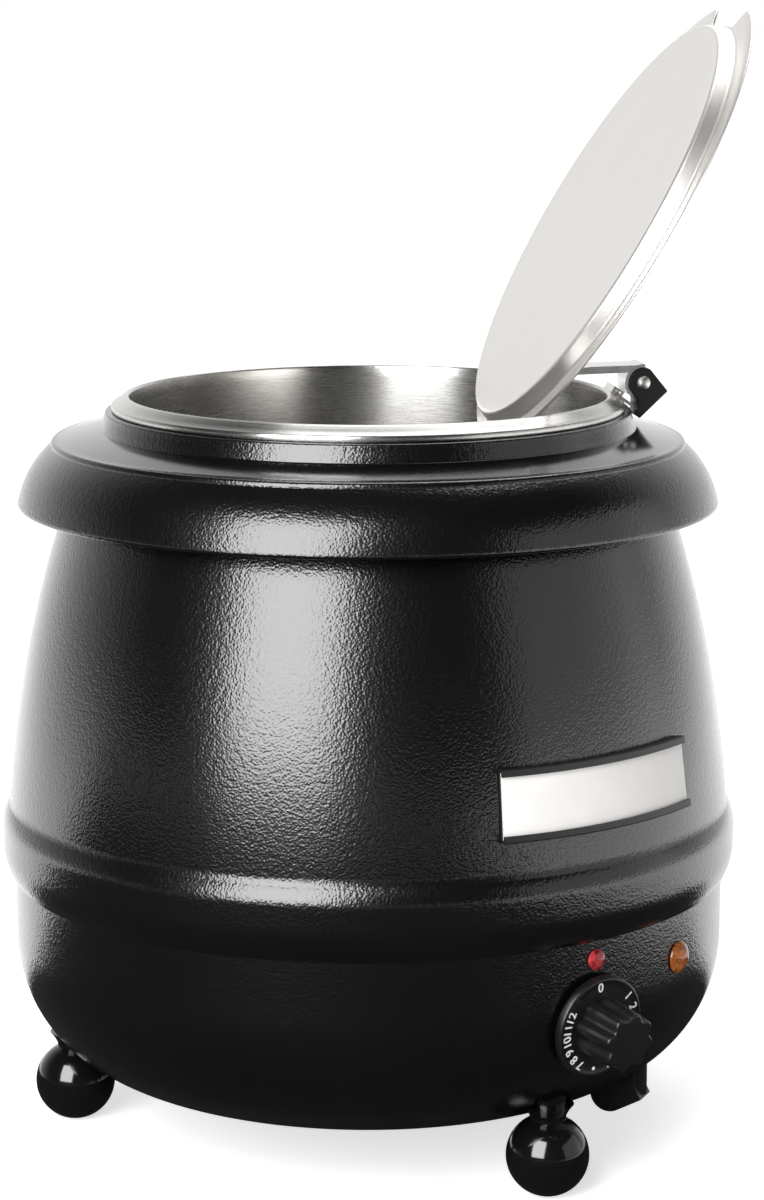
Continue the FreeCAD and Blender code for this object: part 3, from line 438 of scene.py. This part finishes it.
shell_low, shell_high = span("body_shell")
belt_r, belt_low, shell_top = shell_high[0], shell_low[2], shell_high[2]
BELT_H, BELT_STEP, BELT_LIP, BELT_FOOT_IN, BELT_HEAD_IN = 33.5, 3.4, 0.6, 1.4, 0.9
SLEEVE_GAP, SHELL_FLARE, SHELL_BULGE, TURN_IN = 0.3, 30.1, 5.0, 15.8
belt_top = belt_low + BELT_H
belt_round = BELT_H / 5
sleeve_r = bowl_r + SLEEVE_GAP
foot_of_wall = np.array([belt_r - BELT_STEP, belt_top])
top_of_wall = np.array([belt_r - BELT_STEP - SHELL_FLARE, shell_top])
middle_of_wall = (foot_of_wall + top_of_wall) / 2 + np.array([SHELL_BULGE, 0.0])
inset = np.array([SHEET, 0.0])
turned_r = top_of_wall[0] - TURN_IN
shell_line = np.concatenate([
    [(sleeve_r, belt_low)],
    bend((sleeve_r + BELT_LIP, belt_low), (belt_r - BELT_FOOT_IN, belt_low + 0.9 * belt_round),
         (belt_r, belt_low + 2 * belt_round), 12),
    bend((belt_r, belt_top - 1.4 * belt_round), (belt_r - BELT_HEAD_IN, belt_top - 0.7 * belt_round),
         foot_of_wall, 12),
    bend(foot_of_wall, middle_of_wall, top_of_wall, 44),
    [(turned_r, shell_top), (turned_r, shell_top - SHEET)],
    bend(foot_of_wall - inset, middle_of_wall - inset, top_of_wall - inset - (0.0, SHEET), 44)[::-1],
    [(sleeve_r, belt_top - SHEET)]])
make_piece("shell_casing", "kettle", hammered,
           [(lathe(refined(shell_line, longest=4.0)), True)], ["body_shell"])

# Sign holder and plate: a curved channel of black plastic fixed to the wall, with a white plate slid into it.
# The plate is left blank.

SIGN_AZ, SIGN_SPAN, SIGN_LOW_Z, SIGN_H = 1.6, 36.8, 170.8, 31.2
SIGN_BACK, SIGN_LIP, SIGN_PLATE, SIGN_FIT, SIGN_EDGE, PLATE_SHORT = 1.2, 3.2, 1.4, 0.3, 0.5, 0.4


def wall_r(z):
    """Outer radius of the shell's wall at a height, read off its line."""
    wall = bend(foot_of_wall, middle_of_wall, top_of_wall, 200)
    return np.interp(z, wall[:, 1], wall[:, 0])


sign_foot = np.array([wall_r(SIGN_LOW_Z) + SIGN_FIT, SIGN_LOW_Z])
sign_head = np.array([wall_r(SIGN_LOW_Z + SIGN_H) + SIGN_FIT, SIGN_LOW_Z + SIGN_H])
sign_length = np.linalg.norm(sign_head - sign_foot)
sign_up = (sign_head - sign_foot) / sign_length
sign_out = np.array([sign_up[1], -sign_up[0]])


def sign_grid(section, trim=0.0):
    """A section given along the wall and out from it, carried round the wall's arc for the sign's span."""
    line = sign_foot + np.asarray(section, float) @ np.stack([sign_up, sign_out])
    half = math.radians(SIGN_SPAN / 2) - trim / sign_foot[0]
    az = math.radians(SIGN_AZ) + np.linspace(-half, half, 48)[:, None]
    r, z = line.T[:, None, :]
    return np.stack([r * np.sin(az), -r * np.cos(az), z + 0 * az], -1)


slot_out = SIGN_BACK + SIGN_PLATE + 2 * SIGN_FIT
sign_deep = slot_out + SIGN_BACK
channel = [(0, 0), (0, sign_deep - SIGN_EDGE), (SIGN_EDGE, sign_deep), (SIGN_LIP, sign_deep),
           (SIGN_LIP, slot_out), (SIGN_BACK, slot_out), (SIGN_BACK, SIGN_BACK)]
channel += [(sign_length - along, out) for along, out in reversed(channel)]
make_piece("sign_channel", "kettle", nylon, [(sign_grid(channel), False)], ["sign_holder"])

# Gloss white styrene sheet: almost even, with a faint warm mottle.
styrene = mottled("white_styrene_sheet", size=14.0, detail=3.0, tints=("#dbd9d6", "#e6e4e2"),
                  dulls=(0.3, 0.4), IOR=1.55)
near, far = SIGN_BACK + SIGN_FIT, SIGN_BACK + SIGN_FIT + SIGN_PLATE
plate = [(near, near), (near, far), (sign_length - near, far), (sign_length - near, near)]
make_piece("blank_sign", "kettle", styrene, [(sign_grid(plate, PLATE_SHORT), False)],
           ["sign_plate"])

# Water well and heater, inside: a pressed aluminium well hangs in the shell, and a sheathed element is
# clamped under its floor with a steel plate and a round cut-out against boiling dry.

# Pressed aluminium: a pale grey metal, with a cloudy shine from the drawing.
aluminium = mottled("pressed_aluminium", size=5.0, detail=5.0, tints=("#a8aaac", "#c9cacb"),
                    dulls=(0.32, 0.5), Metallic=1.0)
refinish(aluminium, "water_well")

# A steel sheath that has been hot: brown and grey patches on a dull metal.
sheath = mottled("heat_tinted_steel", size=11.0, detail=4.0, tints=("#6d5f54", "#8d8c8c"),
                 dulls=(0.35, 0.55), Metallic=1.0)
refinish(sheath, "heating_element")
refinish(zinc, "element_clamp", "overheat_cutout")

# Top collar: a flared ring of coated steel that caps the shell and the well.
# A short neck on it holds the inset pot's rim.

collar_box_low, collar_box_high = span("top_collar")
collar_r, collar_low, neck_top = collar_box_high[0], collar_box_low[2], collar_box_high[2]
NECK_H, NECK_IN, NECK_OUT, NECK_ROUND, NECK_TAPER, NECK_EASE, EASE_MID = 8.2, 112.5, 122.0, 1.5, 1.7, 0.8, 0.2
COLLAR_WALL, COLLAR_HEM, COLLAR_DIP, COLLAR_DIP_H, COLLAR_EDGE = 1.6, 1.5, 5.6, 16.0, 8.5
SHOULDER_W, SHOULDER_H, SHOULDER_FALL, SHOULDER_SWELL, ROUND_MID = 2.2, 7.2, 4.6, 0.7, 0.4
collar_top = neck_top - NECK_H
edge_r, edge_z = top_of_wall[0] + COLLAR_EDGE, collar_top - SHOULDER_H
hem_r, seat_r, neck_r = collar_r - COLLAR_HEM, NECK_IN + COLLAR_WALL, NECK_OUT - NECK_TAPER
hem_top = collar_low + COLLAR_HEM
dip = (collar_r - COLLAR_DIP, collar_low + COLLAR_DIP_H)
shoulder = (edge_r - SHOULDER_W, collar_top - SHOULDER_FALL)
collar_line = np.concatenate([
    [(NECK_IN, collar_top - 3 * COLLAR_WALL)],
    bend((NECK_IN, neck_top - NECK_EASE), (NECK_IN + EASE_MID, neck_top - EASE_MID),
         (NECK_IN + NECK_EASE, neck_top), 5),
    bend((neck_r - NECK_ROUND, neck_top), (neck_r - ROUND_MID, neck_top - ROUND_MID),
         (neck_r, neck_top - NECK_ROUND), 8),
    bend((NECK_OUT, collar_top + NECK_EASE), (NECK_OUT + EASE_MID, collar_top + EASE_MID),
         (NECK_OUT + NECK_EASE, collar_top), 5),
    bend(shoulder, (edge_r - SHOULDER_W / 4, (shoulder[1] + edge_z) / 2 + SHOULDER_SWELL),
         (edge_r, edge_z), 16),
    bend((edge_r, edge_z), dip, (collar_r, hem_top), 32),
    bend((collar_r, hem_top), (collar_r - ROUND_MID, collar_low + ROUND_MID), (hem_r, collar_low), 6),
    [(hem_r - COLLAR_WALL, collar_low)],
    bend((hem_r - COLLAR_WALL, collar_low), (dip[0] - COLLAR_WALL, dip[1] - COLLAR_WALL / 2),
         (edge_r - COLLAR_WALL, edge_z - COLLAR_WALL), 24),
    [(shoulder[0] - COLLAR_WALL, shoulder[1] - COLLAR_WALL), (seat_r, collar_top - COLLAR_WALL),
     (seat_r, collar_top - 3 * COLLAR_WALL)]])
make_piece("collar_casing", "kettle", hammered,
           [(lathe(refined(collar_line, longest=3.0)), True)], ["top_collar"])

# Inset pot: a deep-drawn stainless pot that lifts out, with a sloped rim that hangs on the collar's neck.
# It was spun and brushed round its axis, so its wall shows upright bands of light.

pot_low, pot_high = span("inset_pot")
pot_top, pot_under, flange_r = pot_high[2], pot_low[2], pot_high[0]
POT_WALL, POT_R, POT_CORNER, FLANGE_H = 1.2, 109.0, 20.0, 6.6
RIM_W, RIM_FALL, HEM_H, HEM_W, HEM_UP = 1.6, 0.55, 2.9, 1.2, 0.1
pot_out = POT_R + POT_WALL
flange_low = pot_top - FLANGE_H
hem_z = flange_low + HEM_H
floor_in = pot_under + POT_WALL
slope_top = np.array([pot_out + RIM_W, pot_top - RIM_FALL])
slope_foot = np.array([flange_r - HEM_W, hem_z + HEM_UP])
quarter = np.linspace(0.0, np.pi / 2, 20)
corner_of_pot = np.stack([np.sin(quarter), 1 - np.cos(quarter)], -1) * POT_CORNER
pot_line = np.concatenate([
    [(0.0, pot_under)], corner_of_pot + (pot_out - POT_CORNER, pot_under),
    bend((pot_out, pot_top - 3.0), (pot_out + 0.4, pot_top - 1.9), (pot_out + RIM_W, pot_top - 2.4), 6),
    [(flange_r - POT_WALL, hem_z - 1.5), (flange_r - POT_WALL, flange_low), (flange_r - 0.2, flange_low)],
    bend((flange_r, flange_low + 0.3), (flange_r - 0.1, hem_z - 0.6), slope_foot, 8),
    bend(slope_top, (POT_R + 0.9, pot_top), (POT_R, pot_top - 1.2), 10),
    (corner_of_pot + (POT_R - POT_CORNER, floor_in))[::-1], [(0.0, floor_in)]])

# Brushed stainless steel: long fine scratches round the axis smear each reflection up and down.
# The real lines are a few hundredths of a millimetre apart, so they are drawn at half a millimetre to show,
# and a radian round the axis counts as only four millimetres, which makes them long.
SCRATCH, SCRATCH_H, RADIAN = 0.5, 0.03, 4.0
stainless, tree, shader = new_material("spun_stainless_steel", Metallic=1.0, Anisotropic=0.75,
                                       Anisotropic_Rotation=0.25)
place = add(tree, "TexCoord", {})["Object"]
axes = add(tree, "SeparateXYZ", {}, Vector=place)
angle = add(tree, "Math", {"operation": "ARCTAN2"}, n0=axes["Y"], n1=axes["X"])["Value"]
along = add(tree, "Math", {"operation": "MULTIPLY"}, n0=angle, n1=RADIAN / 1000.0)["Value"]
level = add(tree, "CombineXYZ", {}, X=axes["X"], Y=axes["Y"])["Vector"]
reach = add(tree, "VectorMath", {"operation": "LENGTH"}, n0=level)["Value"]
round_axis = add(tree, "CombineXYZ", {}, X=along, Y=reach, Z=axes["Z"])["Vector"]
lines = add(tree, "TexNoise", {}, Vector=round_axis, Scale=1000.0 / SCRATCH, Detail=3.0,
            Roughness=0.65)["Fac"]
bump = add(tree, "Bump", {}, Strength=0.35, Distance=SCRATCH_H / 1000.0, Height=lines)["Normal"]
tint = add(tree, "Mix", {"data_type": "RGBA"}, n0=lines, n6=colour("#b9b7b4"), n7=colour("#d2d1cf"))[2]
dull = add(tree, "MapRange", {}, Value=lines, To_Min=0.2, To_Max=0.34)["Result"]
tangent = add(tree, "Tangent", {"direction_type": "RADIAL", "axis": "Z"})["Tangent"]
tree.links.new(tint, shader.inputs["Base Color"])
tree.links.new(dull, shader.inputs["Roughness"])
tree.links.new(bump, shader.inputs["Normal"])
tree.links.new(tangent, shader.inputs["Tangent"])
make_piece("pot_inset", "inset", stainless,
           [(lathe(refined(pot_line, longest=5.0, closed=False)), False)], ["inset_pot"])

# Rim hinge: a steel clip on the pot's rim carries a black block, and a stainless strap turns on a bolt
# through it. The strap's other end is a knuckle with a pin, on which the lid's leaf swings.

# Moulded nylon with a coarser grit than the gland's: a satin black.
hinge_black = mottled("black_hinge_nylon", size=1.2, detail=3.0, tints=("#0d0d0e", "#1c1c1d"),
                      dulls=(0.3, 0.46), IOR=1.53)


def satin_steel(name, tints, dulls):
    """Stainless steel blasted to a satin: a fine grain over a tint and a dullness that drift in hazes."""
    steel = mottled(name, size=45.0, detail=3.0, tints=tints, dulls=dulls, Metallic=1.0)
    pebble(steel, size=0.7, detail=4.0, strength=0.25, depth=0.02, roughness=0.6)
    return steel


satin = satin_steel("satin_stainless_steel", ("#dddbd8", "#e9e7e5"), (0.3, 0.42))
refinish(satin, "pivot_pin", "lid_leaf")

# Polished stainless steel: nearly a mirror, so a face turned to the dim side of the room shows dark.
polished = mottled("polished_stainless_steel", size=8.0, detail=4.0, tints=("#cfcdca", "#dedcda"),
                   dulls=(0.12, 0.22), Metallic=1.0)

# Places on the hinge are given out from the kettle's axis and up, with its bolt and its pivot pin end on.
hinge_at, hinge_axis, lid_range = joint("lid_hinge")
bolt_place, _, _ = joint("arm_hinge")
hinge_out = np.array([hinge_axis[1], -hinge_axis[0], 0.0])
bolt = np.array([bolt_place @ hinge_out, bolt_place[2]])
pivot = np.array([hinge_at @ hinge_out, hinge_at[2]])


def across(section, low, high):
    """A section given out from the kettle's axis and up, carried across the hinge from low to high."""
    out, up = np.asarray(section, float).T[:, None, :, None]
    side = np.array([low, high])[:, None, None]
    return out * hinge_out + side * hinge_axis + up * UPRIGHT


def arc(centre, r, start, end, count=24):
    """Points of a circle round a centre, from one angle above the outward line to another."""
    a = np.radians(np.linspace(start, end, count))
    return np.array(centre) + r * np.stack([np.cos(a), np.sin(a)], -1)


EYE_R, BLOCK_HALF, BLOCK_ROUND = 7.0, 8.0, 0.7
block_foot = np.array([(-2.4, -8.2), (-2.6, -13.4), (-3.6, -14.0), (-1.5, -16.6), (11.8, -4.2), (3.2, 6.3)])
block = np.concatenate([arc(bolt, EYE_R, 90.0, 205.0), bolt + block_foot])
casting = make_piece("hinge_casting", "inset", hinge_black,
                     [(across(block, -BLOCK_HALF, BLOCK_HALF), False)], ["hinge_block"])
round_off = casting.modifiers.new("round_off", "BEVEL")
round_off.width, round_off.segments = BLOCK_ROUND / 1000.0, 2
round_off.limit_method, round_off.angle_limit = "ANGLE", math.radians(35.0)

STRAP_HALF, STRAP_THICK, STRAP_FROM, STRAP_BEND, STRAP_UP = 9.0, 3.4, 5.2, -24.8, 7.9
CURL_IN, CURL_OUT, KNUCKLE_R, TAB_FROM, TAB_TO = 7.35, 8.8, 3.6, 6.4, 7.0
curl_end = bolt + np.array([(-5.9, -4.9), (-7.3, -5.2)])
bar = np.concatenate([
    [pivot + (STRAP_FROM, KNUCKLE_R + 0.4), bolt + (STRAP_BEND, STRAP_UP)],
    arc(bolt, CURL_OUT, 110.0, 86.0, 6), arc(bolt, CURL_IN, 86.0, 205.0), curl_end,
    arc(bolt, CURL_OUT, 202.0, 146.0, 12),
    [bolt + (STRAP_BEND, STRAP_UP - STRAP_THICK), pivot + (STRAP_FROM, KNUCKLE_R - 1.2)]])
tab = np.concatenate([arc(pivot, KNUCKLE_R, 90.0, 310.0),
                      [pivot + (TAB_TO, KNUCKLE_R - 1.0), pivot + (TAB_TO, KNUCKLE_R + 0.55)]])
make_piece("strap_arm", "arm", polished,
           [(across(bar, -STRAP_HALF, STRAP_HALF), False), (across(tab, -STRAP_HALF, -TAB_FROM), False),
            (across(tab, TAB_FROM, STRAP_HALF), False)], ["hinge_strap"])

HEAD_R, HEAD_H, HEAD_EDGE, HEAD_ROOT, SCREW_SIZE = 3.3, 2.2, 0.3, -1.0, 0.45
dome = conic((HEAD_R, HEAD_EDGE), (HEAD_R, HEAD_H), (0.0, HEAD_H), fullness=0.8, count=14)
head_line = np.concatenate([[(0.0, HEAD_ROOT), (HEAD_R, HEAD_ROOT)], dome])


def heads(middle, half, size):
    """A domed head on each side of the hinge, turned about its axis at half a width from the middle."""
    at = middle[0] * hinge_out + middle[1] * UPRIGHT
    return [(set_on(lathe(head_line * size, turns=48), at + side * half * hinge_axis,
                    np.cross(UPRIGHT, side * hinge_axis), UPRIGHT, side * hinge_axis), False)
            for side in (-1.0, 1.0)]


make_piece("bolt_heads", "inset", satin, heads(bolt, BLOCK_HALF, 1.0), ["hinge_bolt"])

# The clip is a small bright bracket on the slope of the pot's rim, held by domed screws.
CLIP_HALF, CLIP_LONG, CLIP_THICK, CLIP_FOOT, CLIP_SHEET, CLIP_SUNK = 8.0, 5.6, 3.2, 12.6, 1.2, 0.2
slope = slope_foot - slope_top
slope /= np.linalg.norm(slope)
slope_up = np.array([-slope[1], slope[0]])
clip = slope_top + np.array([
    (CLIP_SUNK, -CLIP_SUNK), (0.0, CLIP_THICK), (CLIP_LONG, CLIP_THICK), (CLIP_LONG, CLIP_SHEET),
    (CLIP_FOOT, CLIP_SHEET), (CLIP_FOOT, -CLIP_SUNK)]) @ np.stack([slope, slope_up])
clip_middle = slope_top + CLIP_LONG / 2 * slope + CLIP_THICK / 2 * slope_up
make_piece("clip_bracket", "inset", polished, [(across(clip, -CLIP_HALF, CLIP_HALF), False)],
           ["rim_clip"])
make_piece("clip_screws", "inset", satin, heads(clip_middle, CLIP_HALF, SCREW_SIZE),
           ["clip_rivets"])

# Lid: a disc of satin stainless sheet with a sunk panel and a flat rim, notched for the ladle's handle.
# It stands open on the rim hinge, leaning back.

LID_OPEN = math.radians(-lid_range[0])
LID_R, LID_SHIFT, LID_SHEET, LID_LIFT = 114.0, 7.7, 1.2, 0.4
PANEL_R, PANEL_SHIFT, PANEL_DROP, PANEL_SLOPE, NOTCH_DEPTH = 104.5, 4.5, 7.0, 3.5, 12.5
NOTCH_FROM, NOTCH_TO = math.radians(10.2), math.radians(14.4)
flat_r = PANEL_R - PANEL_SLOPE
rim_low = pot_top + LID_LIFT
panel_low = rim_low - PANEL_DROP
rim_high, panel_high = rim_low + LID_SHEET, panel_low + LID_SHEET
lid_line = np.concatenate([
    [(0.0, panel_low)],
    bend((flat_r - 2.2, panel_low), (flat_r + 0.2, panel_low + 0.3), (flat_r + 1.2, panel_low + 2.2), 8),
    bend((PANEL_R - 0.9, rim_low - 2.0), (PANEL_R - 0.2, rim_low - 0.3), (PANEL_R + 1.6, rim_low), 8),
    bend((LID_R - 0.5, rim_low), (LID_R, rim_low + LID_SHEET / 2), (LID_R - 0.5, rim_high), 7),
    bend((PANEL_R + 1.0, rim_high), (PANEL_R - 0.8, rim_high - 0.3), (PANEL_R - 1.5, rim_high - 2.0), 8),
    bend((flat_r + 0.6, panel_high + 2.2), (flat_r - 0.4, panel_high + 0.3), (flat_r - 2.8, panel_high), 8),
    [(0.0, panel_high)]])
lid_line = refined(lid_line, longest=4.0, closed=False)

# At the notch, on the side away from the hinge, the rim is cut straight across and eased back to its round.
# The panel's centre lies nearer to the hinge than the rim's does.
turn = np.linspace(-np.pi, np.pi, 480, endpoint=False)[None, :]
away = np.abs(np.pi - np.abs(turn))
ease = np.clip((away - NOTCH_FROM) / (NOTCH_TO - NOTCH_FROM), 0.0, 1.0)
ease = ease * ease * (3 - 2 * ease)
notch_r = (LID_R - NOTCH_DEPTH) / np.cos(np.minimum(away, NOTCH_TO))
edge = notch_r * (1 - ease) + LID_R * ease
share = np.clip((lid_line[:, :1] - PANEL_R) / (LID_R - PANEL_R), 0.0, None)
lid_r = lid_line[:, :1] + share * (edge - LID_R)
lid_mid = PANEL_SHIFT + np.minimum(share, 1.0) * (LID_SHIFT - PANEL_SHIFT)
shut_lid = np.stack([lid_r * np.cos(turn) - lid_mid, lid_r * np.sin(turn), lid_line[:, 1:] + 0 * turn], -1)


def swung(points):
    """A shut lid's points, out, across and up from the kettle's axis, turned open about the pivot pin."""
    out = points[..., :1] - pivot[0]
    up = points[..., 2:] - pivot[1]
    turned_out = out * math.cos(LID_OPEN) + up * math.sin(LID_OPEN)
    turned_up = up * math.cos(LID_OPEN) - out * math.sin(LID_OPEN)
    return hinge_at + turned_out * hinge_out + points[..., 1:2] * hinge_axis + turned_up * UPRIGHT


# The lid has its own copy of the satin steel with a paler tint than the hinge's steel: painted light,
# standing in for the soft box's glare on the open lid.
lid_steel_painted_light = satin_steel("satin_lid_steel_painted_light", ("#eeebe7", "#f5f3f0"), (0.38, 0.48))
make_piece("lid_disc", "lid", lid_steel_painted_light, [(swung(shut_lid), False)], ["lid"])

# Floor, light and camera: a pale paper floor, a tall soft box on the left, a dim wide one on the right, one
# above, and a camera at the photograph's angle, about a metre and a half away.

# Matt white paper, faintly fibrous: far off it glows to plain white, for the camera and in gloss only.
FIBRE = 50.0
GLOW_FROM, GLOW_TO, GLOW_LEAST = 0.3, 1.2, 0.62
paper, tree, shader = new_material("white_paper", IOR=1.4, Specular_IOR_Level=0.2, Roughness=0.8,
                                   Emission_Color=colour("#ffffff"))
place = add(tree, "TexCoord", {})["Object"]
fibre = add(tree, "TexNoise", {}, Vector=place, Scale=1000.0 / FIBRE, Detail=4.0)["Fac"]
tint = add(tree, "Mix", {"data_type": "RGBA"}, n0=fibre, n6=colour("#f6f6f6"), n7=colour("#f9f9f9"))[2]
far_off = add(tree, "VectorMath", {"operation": "LENGTH"}, n0=place)["Value"]
glow = add(tree, "MapRange", {"interpolation_type": "SMOOTHSTEP"}, Value=far_off, From_Min=GLOW_FROM,
           From_Max=GLOW_TO, To_Min=GLOW_LEAST, To_Max=1.0)["Result"]
path = add(tree, "LightPath", {})
mirrored = add(tree, "Math", {"operation": "ADD"}, n0=path["Is Glossy Ray"],
               n1=path["Is Transmission Ray"])["Value"]
shown = add(tree, "Math", {"operation": "ADD"}, n0=path["Is Camera Ray"], n1=mirrored)["Value"]
white = add(tree, "Math", {"operation": "MULTIPLY"}, n0=shown, n1=glow)["Value"]
tree.links.new(tint, shader.inputs["Base Color"])
tree.links.new(white, shader.inputs["Emission Strength"])


def stage_sheet(name, corners, material):
    """A flat sheet of the studio, which isn't a piece of the kettle."""
    sheet = bpy.data.meshes.new(name)
    sheet.from_pydata(corners, [], [(0, 1, 2, 3)])
    sheet.materials.append(material)
    holder = bpy.data.objects.new(name, sheet)
    bpy.context.scene.collection.objects.link(holder)
    return holder


FLOOR_HALF = 20.0
stage_sheet("floor", [(-FLOOR_HALF, -FLOOR_HALF, 0), (FLOOR_HALF, -FLOOR_HALF, 0),
                      (FLOOR_HALF, FLOOR_HALF, 0), (-FLOOR_HALF, FLOOR_HALF, 0)], paper)

CAMERA_AZ, CAMERA_FAR, CAMERA_UP, CAMERA_PITCH, CAMERA_PAN = -36.5, 1.502, 0.530, 10.72, 0.243
SENSOR, FOCAL_PIXELS, PICTURE_PIXELS = 24.0, 3304.0, 1200.0


def from_camera(az, far, up):
    """A place by its bearing to the right of the camera's side, its distance from the axis and its height."""
    bearing = math.radians(CAMERA_AZ + az)
    return Vector((far * math.sin(bearing), -far * math.cos(bearing), up))


def soft_box(name, az, far, up, size, watts, aim):
    """A rectangular area light that faces a height on the kettle's axis."""
    lamp = bpy.data.lights.new(name, "AREA")
    lamp.shape = "RECTANGLE"
    lamp.size, lamp.size_y = size
    lamp.energy = watts
    holder = bpy.data.objects.new(name, lamp)
    holder.location = from_camera(az, far, up)
    holder.rotation_euler = (Vector((0.0, 0.0, aim)) - holder.location).to_track_quat("-Z", "Y").to_euler()
    bpy.context.scene.collection.objects.link(holder)


soft_box("left_box", az=-27.0, far=1.7, up=1.02, size=(1.2, 1.6), watts=58.0, aim=0.25)
soft_box("right_box", az=76.0, far=1.7, up=0.62, size=(2.0, 1.1), watts=4.2, aim=0.4)
soft_box("top_box", az=160.0, far=0.9, up=1.9, size=(1.4, 1.4), watts=14.0, aim=0.2)

# A dark card on the floor before the kettle, seen only in its gloss, keeps the floor's glare off the enamel.
CARD_UP, CARD_LEFT, CARD_RIGHT, CARD_OUT, CARD_BACK, CARD_FRONT = 0.0006, 4.0, 0.45, 1.8, 0.15, 4.0
velvet, _, _ = new_material("black_card", Base_Color=colour("#3a3a3a"), Roughness=0.9, Specular_IOR_Level=0.0)
card_left = from_camera(-90, CARD_LEFT, CARD_UP)
card_right, card_out = from_camera(90, CARD_RIGHT, CARD_UP), from_camera(90, CARD_OUT, CARD_UP)
card_back, card_front = from_camera(180, CARD_BACK, 0.0), from_camera(0, CARD_FRONT, 0.0)
card = stage_sheet("black_card", [card_left + card_back, card_right + card_back, card_out + card_front,
                                  card_left + card_front], velvet)
card.visible_camera = card.visible_diffuse = card.visible_shadow = card.visible_transmission = False

# The room is white behind the kettle, which gloss and glass show too, and dim above and behind the camera;
# the camera itself sees plain white all round.
DIM_TILT, DIM_FROM, DIM_TO, DIM_LEAST = math.radians(35.0), -0.75, 0.3, 0.03
BEHIND_FROM, BEHIND_TO = -0.7, -0.4
world = bpy.data.worlds.new("studio")
bpy.context.scene.world = world
world.use_nodes = True
tree = world.node_tree
backdrop = tree.nodes["Background"]
view_out = from_camera(0.0, math.cos(DIM_TILT), math.sin(DIM_TILT))
direction = add(tree, "TexCoord", {})["Generated"]
facing = add(tree, "VectorMath", {"operation": "DOT_PRODUCT"}, n0=direction, n1=view_out)["Value"]
dim = add(tree, "MapRange", {"interpolation_type": "SMOOTHSTEP"}, Value=facing, From_Min=DIM_FROM,
          From_Max=DIM_TO, To_Min=1.0, To_Max=DIM_LEAST)["Result"]
behind = add(tree, "MapRange", {"interpolation_type": "SMOOTHSTEP"}, Value=facing, From_Min=BEHIND_FROM,
             From_Max=BEHIND_TO, To_Min=1.0, To_Max=0.0)["Result"]
path = add(tree, "LightPath", {})
mirrored = add(tree, "Math", {"operation": "ADD"}, n0=path["Is Glossy Ray"],
               n1=path["Is Transmission Ray"])["Value"]
shown = add(tree, "Math", {"operation": "MULTIPLY_ADD"}, n0=mirrored, n1=behind,
            n2=path["Is Camera Ray"])["Value"]
brightness = add(tree, "Mix", {}, n0=shown, n2=dim, n3=1.0)[0]
tree.links.new(brightness, backdrop.inputs["Strength"])
backdrop.inputs["Color"].default_value = colour("#ffffff")

lens = bpy.data.cameras.new("camera")
lens.sensor_fit = "VERTICAL"
lens.sensor_height = SENSOR
lens.lens = SENSOR * FOCAL_PIXELS / PICTURE_PIXELS
camera = bpy.data.objects.new("camera", lens)
camera.location = from_camera(0.0, CAMERA_FAR, CAMERA_UP)
camera.rotation_euler = (math.radians(90.0 - CAMERA_PITCH), 0.0, math.radians(CAMERA_AZ - CAMERA_PAN))
bpy.context.scene.collection.objects.link(camera)
bpy.context.scene.camera = camera
bpy.context.scene.view_settings.view_transform = "Standard"
